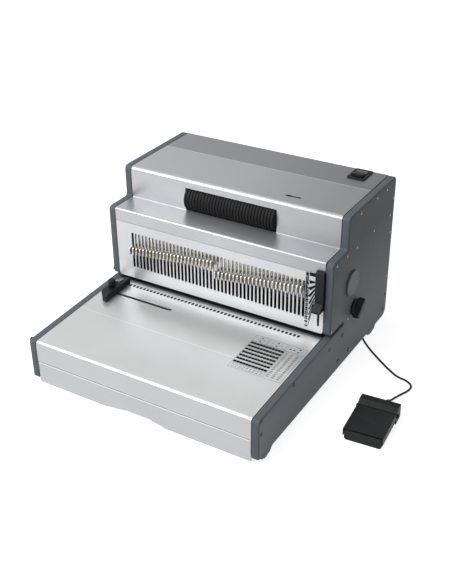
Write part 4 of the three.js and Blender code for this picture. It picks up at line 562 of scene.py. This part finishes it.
@functools.cache
def glyphs(text, weight):
    """The points and faces of some figures, one unit high, with a thickness from 0 to 1."""
    data = bpy.data.curves.new("glyphs", "FONT")
    data.body, data.size, data.extrude, data.resolution_u, data.offset = text, 1, 0.5, 2, weight
    obj = bpy.data.objects.new("glyphs", data)
    scene.collection.objects.link(obj)
    mesh = obj.evaluated_get(bpy.context.evaluated_depsgraph_get()).to_mesh()
    points = [v.co.copy() for v in mesh.vertices]
    faces = [tuple(p.vertices) for p in mesh.polygons]
    low = [min(p[i] for p in points) for i in range(3)]
    high = [max(p[i] for p in points) for i in range(3)]
    scale = 1 / (high[Y] - low[Y])
    middle = [(a + b) / 2 for a, b in zip(low, high)]
    points = [((p.x - middle[X]) * scale, (p.y - middle[Y]) * scale, p.z + data.extrude) for p in points]
    bpy.data.objects.remove(obj)
    bpy.data.curves.remove(data)
    return points, faces


# Printed marks
FRONT = Plane((0, SHEET_FRONT, 0), (1, 0, 0), (0, 0, 1))
TABLE = Plane((0, 0, TABLE_FRONT_HEIGHT), (1, 0, 0), (0, HOUSING_FRONT, TABLE_RISE))
TOP = Plane((0, 0, TOP_FACE), (1, 0, 0), (0, 1, 0))


def make_chart():
    """A framed paper chart: rows of dark cells with small figures, and more figures beside and below."""
    shape = Shape()
    left, right, low, high = 92.6, 173.6, 83.0, 166.0
    head, foot, side, w = 150.6, 94, 146.4, 0.4  # the inner lines, and how wide a line is
    for box in ((left, low, right, low + w), (left, high - w, right, high), (left, low, left + w, high),
                (right - w, low, right, high), (left, head, right, head + w), (left, foot, 146.5, foot + w),
                (115.2, head, 115.2 + w, high), (143.6, head, 143.6 + w, high), (side, low, side + w, head)):
        shape.bar(TABLE, *box, kind=1)

    rows, row_pitch, cells, gap = 7, 8.1, 11, 0.3
    first_x, first_y, half_height, figure_drop = 93.6, 146.6, 2.3, 4.05
    cell = 52.5 / cells
    for row in range(rows):
        y = first_y - row_pitch * row
        for k in range(cells):
            x = first_x + cell * k
            shape.bar(TABLE, x, y - half_height, x + cell - gap, y + half_height)
            if (row * 5 + k * 3) % 7 < 4:
                figure = str((row * 7 + k * 3) % 9 + 1)
                shape.words(TABLE, figure, x + cell / 2, y - figure_drop, 1.9, kind=1)

    list_rows, list_pitch, list_top = 15, 4.1, 146
    for row in range(list_rows):
        for k, x in enumerate((151, 159, 167.5)):
            shape.words(TABLE, str(6 + row * 2 + k * 11), x, list_top - list_pitch * row, 2.9, kind=1)
    foot_rows, foot_row_pitch, foot_top = 2, 4, 90.5
    foot_columns, foot_column_pitch, foot_left = 9, 5.4, 98
    for row in range(foot_rows):
        for k in range(foot_columns):
            x, y = foot_left + k * foot_column_pitch, foot_top - foot_row_pitch * row
            shape.words(TABLE, str(10 + k * 5 + row), x, y, 2.5, kind=1)

    for x, y in ((104.3, 162.0), (129.7, 162.2), (164.2, 162.0)):
        shape.ring(TABLE, x, y, 1.5, 0.5)
    for x, y in ((104.1, 154.6), (129.5, 155.0), (150.4, 157.6), (156.2, 157.8), (163.6, 155.4)):
        shape.oval(TABLE, x, y, 2.6, 2.8)
    for x, y in ((99, 158), (109, 158.5), (122, 158.5), (137, 158.5), (169, 158)):
        shape.words(TABLE, "0", x, y, 2.4, kind=1)
    shape.piece("paper_chart", "frame", "black_plastic", ink, grey_ink)


def make_hole_marks():
    """One oval in front of each punch."""
    row_y, across, along = 190.6, 4.2, 6.4
    shape = Shape()
    for k in range(SLOT_COUNT):
        shape.oval(TABLE, SLOT_START + SLOT_PITCH * k, row_y, across, along)
    shape.piece("hole_marks", "frame", "black_plastic", ink)


def make_arrow():
    shape = Shape()
    shape.slab(TOP, [(85.5, 272.9), (101.5, 273.6), (101.5, 277.2), (85.5, 276.2), (84.5, 278.2),
                     (74.5, 274.4), (84.5, 271.2)])
    shape.piece("feed_arrow", "frame", "black_plastic", ink)


def make_gauge_scale():
    """A column of sizes with bars between them, and a fan of strokes towards the gauge's slot."""
    shape = Shape()
    column_x, first_z, pitch, height = 150, 90.2, 6.95, 5.0
    bar_left, bar_right, bar_low, bar_high = 148.4, 151.8, 3.1, 3.9
    sizes = (6, 8, 10, 12, 14, 16, 18, 20, 22, 25, 28, 32, 38)
    for k, size in enumerate(sizes):
        z = first_z + pitch * k
        shape.words(FRONT, str(size), column_x, z, height, quarter=1, weight=BOLD)
        if size != sizes[-1]:
            shape.bar(FRONT, bar_left, z + bar_low, bar_right, z + bar_high)
    for start, end, wide, narrow in (
        ((153.2, 174.6), (163.4, 174.6), 5.4, 5.4), ((153.4, 162.0), (163.2, 163.9), 6.0, 1.8),
        ((153.4, 150.6), (163.2, 158.4), 5.0, 2.6), ((153.6, 138.6), (162.6, 152.8), 3.6, 2.2),
        ((153.9, 127.0), (162.2, 146.0), 2.7, 1.8), ((154.0, 117.4), (162.0, 139.4), 2.0, 1.5),
        ((153.8, 108.6), (161.6, 133.4), 1.6, 1.2), ((153.7, 100.0), (161.0, 128.0), 1.2, 1.0),
        ((153.6, 92.0), (159.4, 121.6), 1.0, 0.8),
    ):
        shape.stroke(FRONT, start, end, wide, narrow)
    shape.piece("gauge_scale", "frame", "black_plastic", ink)


make_chart()
make_hole_marks()
make_arrow()
make_gauge_scale()


# Screws, at (Y, Z) on both side panels, the second list on the right one alone, and at (X, Z) on the rear
BRIGHT = [(380, 239), (344, 240), (287, 240), (408, 215), (400, 190), (340, 190), (405, 160), (280.5, 190),
          (248, 190.5), (214, 191), (405, 83), (206.3, 89.5)]
BRIGHT_RIGHT = [(275.3, 95.7), (262.7, 80.8)]
DARK = [(247, 62), (204, 61), (272, 22), (236, 23), (94, 69.4), (5.7, 68.6), (2.9, 47.8), (408, 47.7),
        (402.5, 24.3)]
REAR = [(x, z) for x in (-168, -60, 60, 168) for z in (16, 236)]
FOREMOST = 5.5  # no screw's middle lies nearer to the front


def screw(shape, plane, radius, proud, dark=False):
    """A round head with a cross in it; a bright one sits in a dark ring of painted shade."""
    seat, ring_top, ring_width, ring_steps, head_steps = 0.02, 0.14, 1.5, 24, 16
    # The dark ring round a bright head is painted shade, standing for the shadow in its recess
    if not dark:
        cup = radius + ring_width
        ring = [(radius, seat), (cup, seat), (cup, ring_top), (radius, ring_top)]
        shape.turned(plane, ring, ring_steps, kind=1, closed=True)
    r, h = radius, proud
    profile = [(r, seat), (r, 0.45 * h), (0.93 * r, 0.75 * h), (0.78 * r, 0.94 * h), (0.55 * r, h),
               (0.2 * r, 0.95 * h)]
    middle = len(profile) - 1

    def dip(i, k):
        if i == middle:
            return -0.55 * h
        return -0.45 * h if i == middle - 1 and k % 4 == 0 else 0

    shape.turned(plane, profile, head_steps, kind=1 if dark else 0, dip=dip)


def make_screws():
    for side, name in ((1, "right"), (-1, "left")):
        shape = Shape()
        groups = [(BRIGHT, 1.5, 0.9, False), (DARK, 3.3, 0.7, True)]
        if side > 0:
            groups.append((BRIGHT_RIGHT, 1.7, 0.8, False))
        for spots, radius, proud, dark in groups:
            for y, z in spots:
                plane = Plane((side * PANEL_FACE, max(y, FOREMOST), z), (0, side, 0), (0, 0, 1))
                screw(shape, plane, radius, proud, dark)
        shape.piece("panel_screws_" + name, "frame", "bare_steel", zinc, black_screw, smooth=True)
    shape = Shape()
    for x, z in REAR:
        screw(shape, Plane((x, REAR_FACE, z), (-1, 0, 0), (0, 0, 1)), 2.6, 1.4)
    shape.piece("rear_screws", "frame", "bare_steel", zinc, black_screw, smooth=True)


make_screws()


# Ribbed rubber roller
def make_roller():
    start, end, axis_y, axis_z, ribs, steps = -76.8, 74.8, 261.5, 216.0, 30, 56
    crown, root, bore = 19.9, 18.5, 7.0
    shoulder = crown - 0.3
    pitch = (end - start) / ribs
    profile = [(bore, 0.0)]
    for k in range(ribs):
        x = pitch * k
        profile += [(root, x), (shoulder, x + 0.5), (crown, x + 1.1), (crown, x + pitch - 1.9),
                    (shoulder, x + pitch - 1.3), (root, x + pitch - 0.8)]
    profile += [(root, end - start), (bore, end - start)]
    shape = Shape()
    shape.turned(Plane((start, axis_y, axis_z), (0, 1, 0), (0, 0, 1)), profile, steps, closed=True)
    obj = shape.piece("ribbed_roller", "roller", "rubber", looks["rubber"], smooth=True)
    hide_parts("coil_roller")


make_roller()


# Pedal spring: the narrow upper half sinks into the wide lower half when the plate goes down
def make_spring():
    centre, turns = (285.1, 119.5), 2.5
    lower, upper = Shape(), Shape()
    lower.helix(centre, radius=3.8, wire=0.5, low=6.6, high=11.0, turns=turns)
    upper.helix(centre, radius=2.6, wire=0.45, low=11.7, high=16.2, turns=turns)
    stand = lower.piece("spring_lower", "frame", "bare_steel", looks["bare_steel"], smooth=True)
    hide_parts("pedal_spring")
    upper.piece("spring_upper", "treadle", "bare_steel", looks["bare_steel"], smooth=True)


make_spring()


# Floor, world and lamps
WHITE = (1, 1, 1, 1)


def seen_rays(n, path):
    """1 for what the camera sees, also in metal and through glass, from the outputs of Light Path."""
    straight_or_glossy = n.math("ADD", path["Is Camera Ray"], path["Is Glossy Ray"])
    return n.math("ADD", straight_or_glossy, path["Is Transmission Ray"], clamp=True)


def make_floor():
    half, below, glow = 6, 0.0002, 0.8
    material = bpy.data.materials.new("floor")
    n = Nodes(material)
    seen = seen_rays(n, n.add("ShaderNodeLightPath").outputs)
    drift = n.blend(n.noise(3, detail=3.0), shade(0xD2D2D2), shade(0xD8D8D8))
    diffuse = n.add("ShaderNodeBsdfDiffuse", {"Color": drift, "Roughness": 0.5}).outputs[0]
    light = n.add("ShaderNodeEmission", {"Color": WHITE, "Strength": n.times(seen, glow)}).outputs[0]
    n.finish(n.add("ShaderNodeAddShader", {0: diffuse, 1: light}).outputs[0])
    mesh = bpy.data.meshes.new("floor")
    corners = [(-half, -half, 0), (half, -half, 0), (half, half, 0), (-half, half, 0)]
    mesh.from_pydata(corners, [], [(0, 1, 2, 3)])
    mesh.materials.append(material)
    floor = bpy.data.objects.new("floor", mesh)
    floor.location.z = -below
    scene.collection.objects.link(floor)


def make_world():
    """White where it is seen, and a dimmer sky for light, darker to the back and to the right."""
    sky, seen_extra = 0.4, 0.6
    world = bpy.data.worlds.new("world")
    scene.world = world
    n = Nodes(world)
    path = n.add("ShaderNodeLightPath").outputs
    strength = n.math("ADD", n.times(seen_rays(n, path), seen_extra), sky)
    toward = n.add("ShaderNodeSeparateXYZ", {0: n.add("ShaderNodeTexCoord").outputs["Generated"]}).outputs
    shaded = n.times(n.span(toward[Y], 0.66, 0.9, 1, 0.4), n.span(toward[X], 0.3, 0.9, 1, 0.35))
    shaded = n.math("MAXIMUM", shaded, path["Is Camera Ray"])
    links = {"Color": WHITE, "Strength": n.times(strength, shaded)}
    n.finish(n.add("ShaderNodeBackground", links).outputs[0], "World")


def make_lamps():
    for name, place, aim, size, power in (
        ("key", (-0.85, -1.0, 1.3), (-0.05, 0, 0.1), (1.2, 0.9), 19),
        ("fill", (1.6, -1.5, 0.9), (0, 0, 0.1), (1.2, 1.2), 1.5),
        ("top", (-0.3, -0.3, 2.2), (0, -0.1, 0.1), (1.4, 1.0), 6),
    ):
        data = bpy.data.lights.new(name, "AREA")
        data.shape = "RECTANGLE"
        data.size, data.size_y = size
        data.energy = power
        lamp = bpy.data.objects.new(name, data)
        scene.collection.objects.link(lamp)
        lamp.location = place
        lamp.rotation_mode = "QUATERNION"
        lamp.rotation_quaternion = (Vector(place) - Vector(aim)).to_track_quat("Z", "Y")


make_floor()
make_world()
make_lamps()
scene.view_settings.view_transform = "Standard"
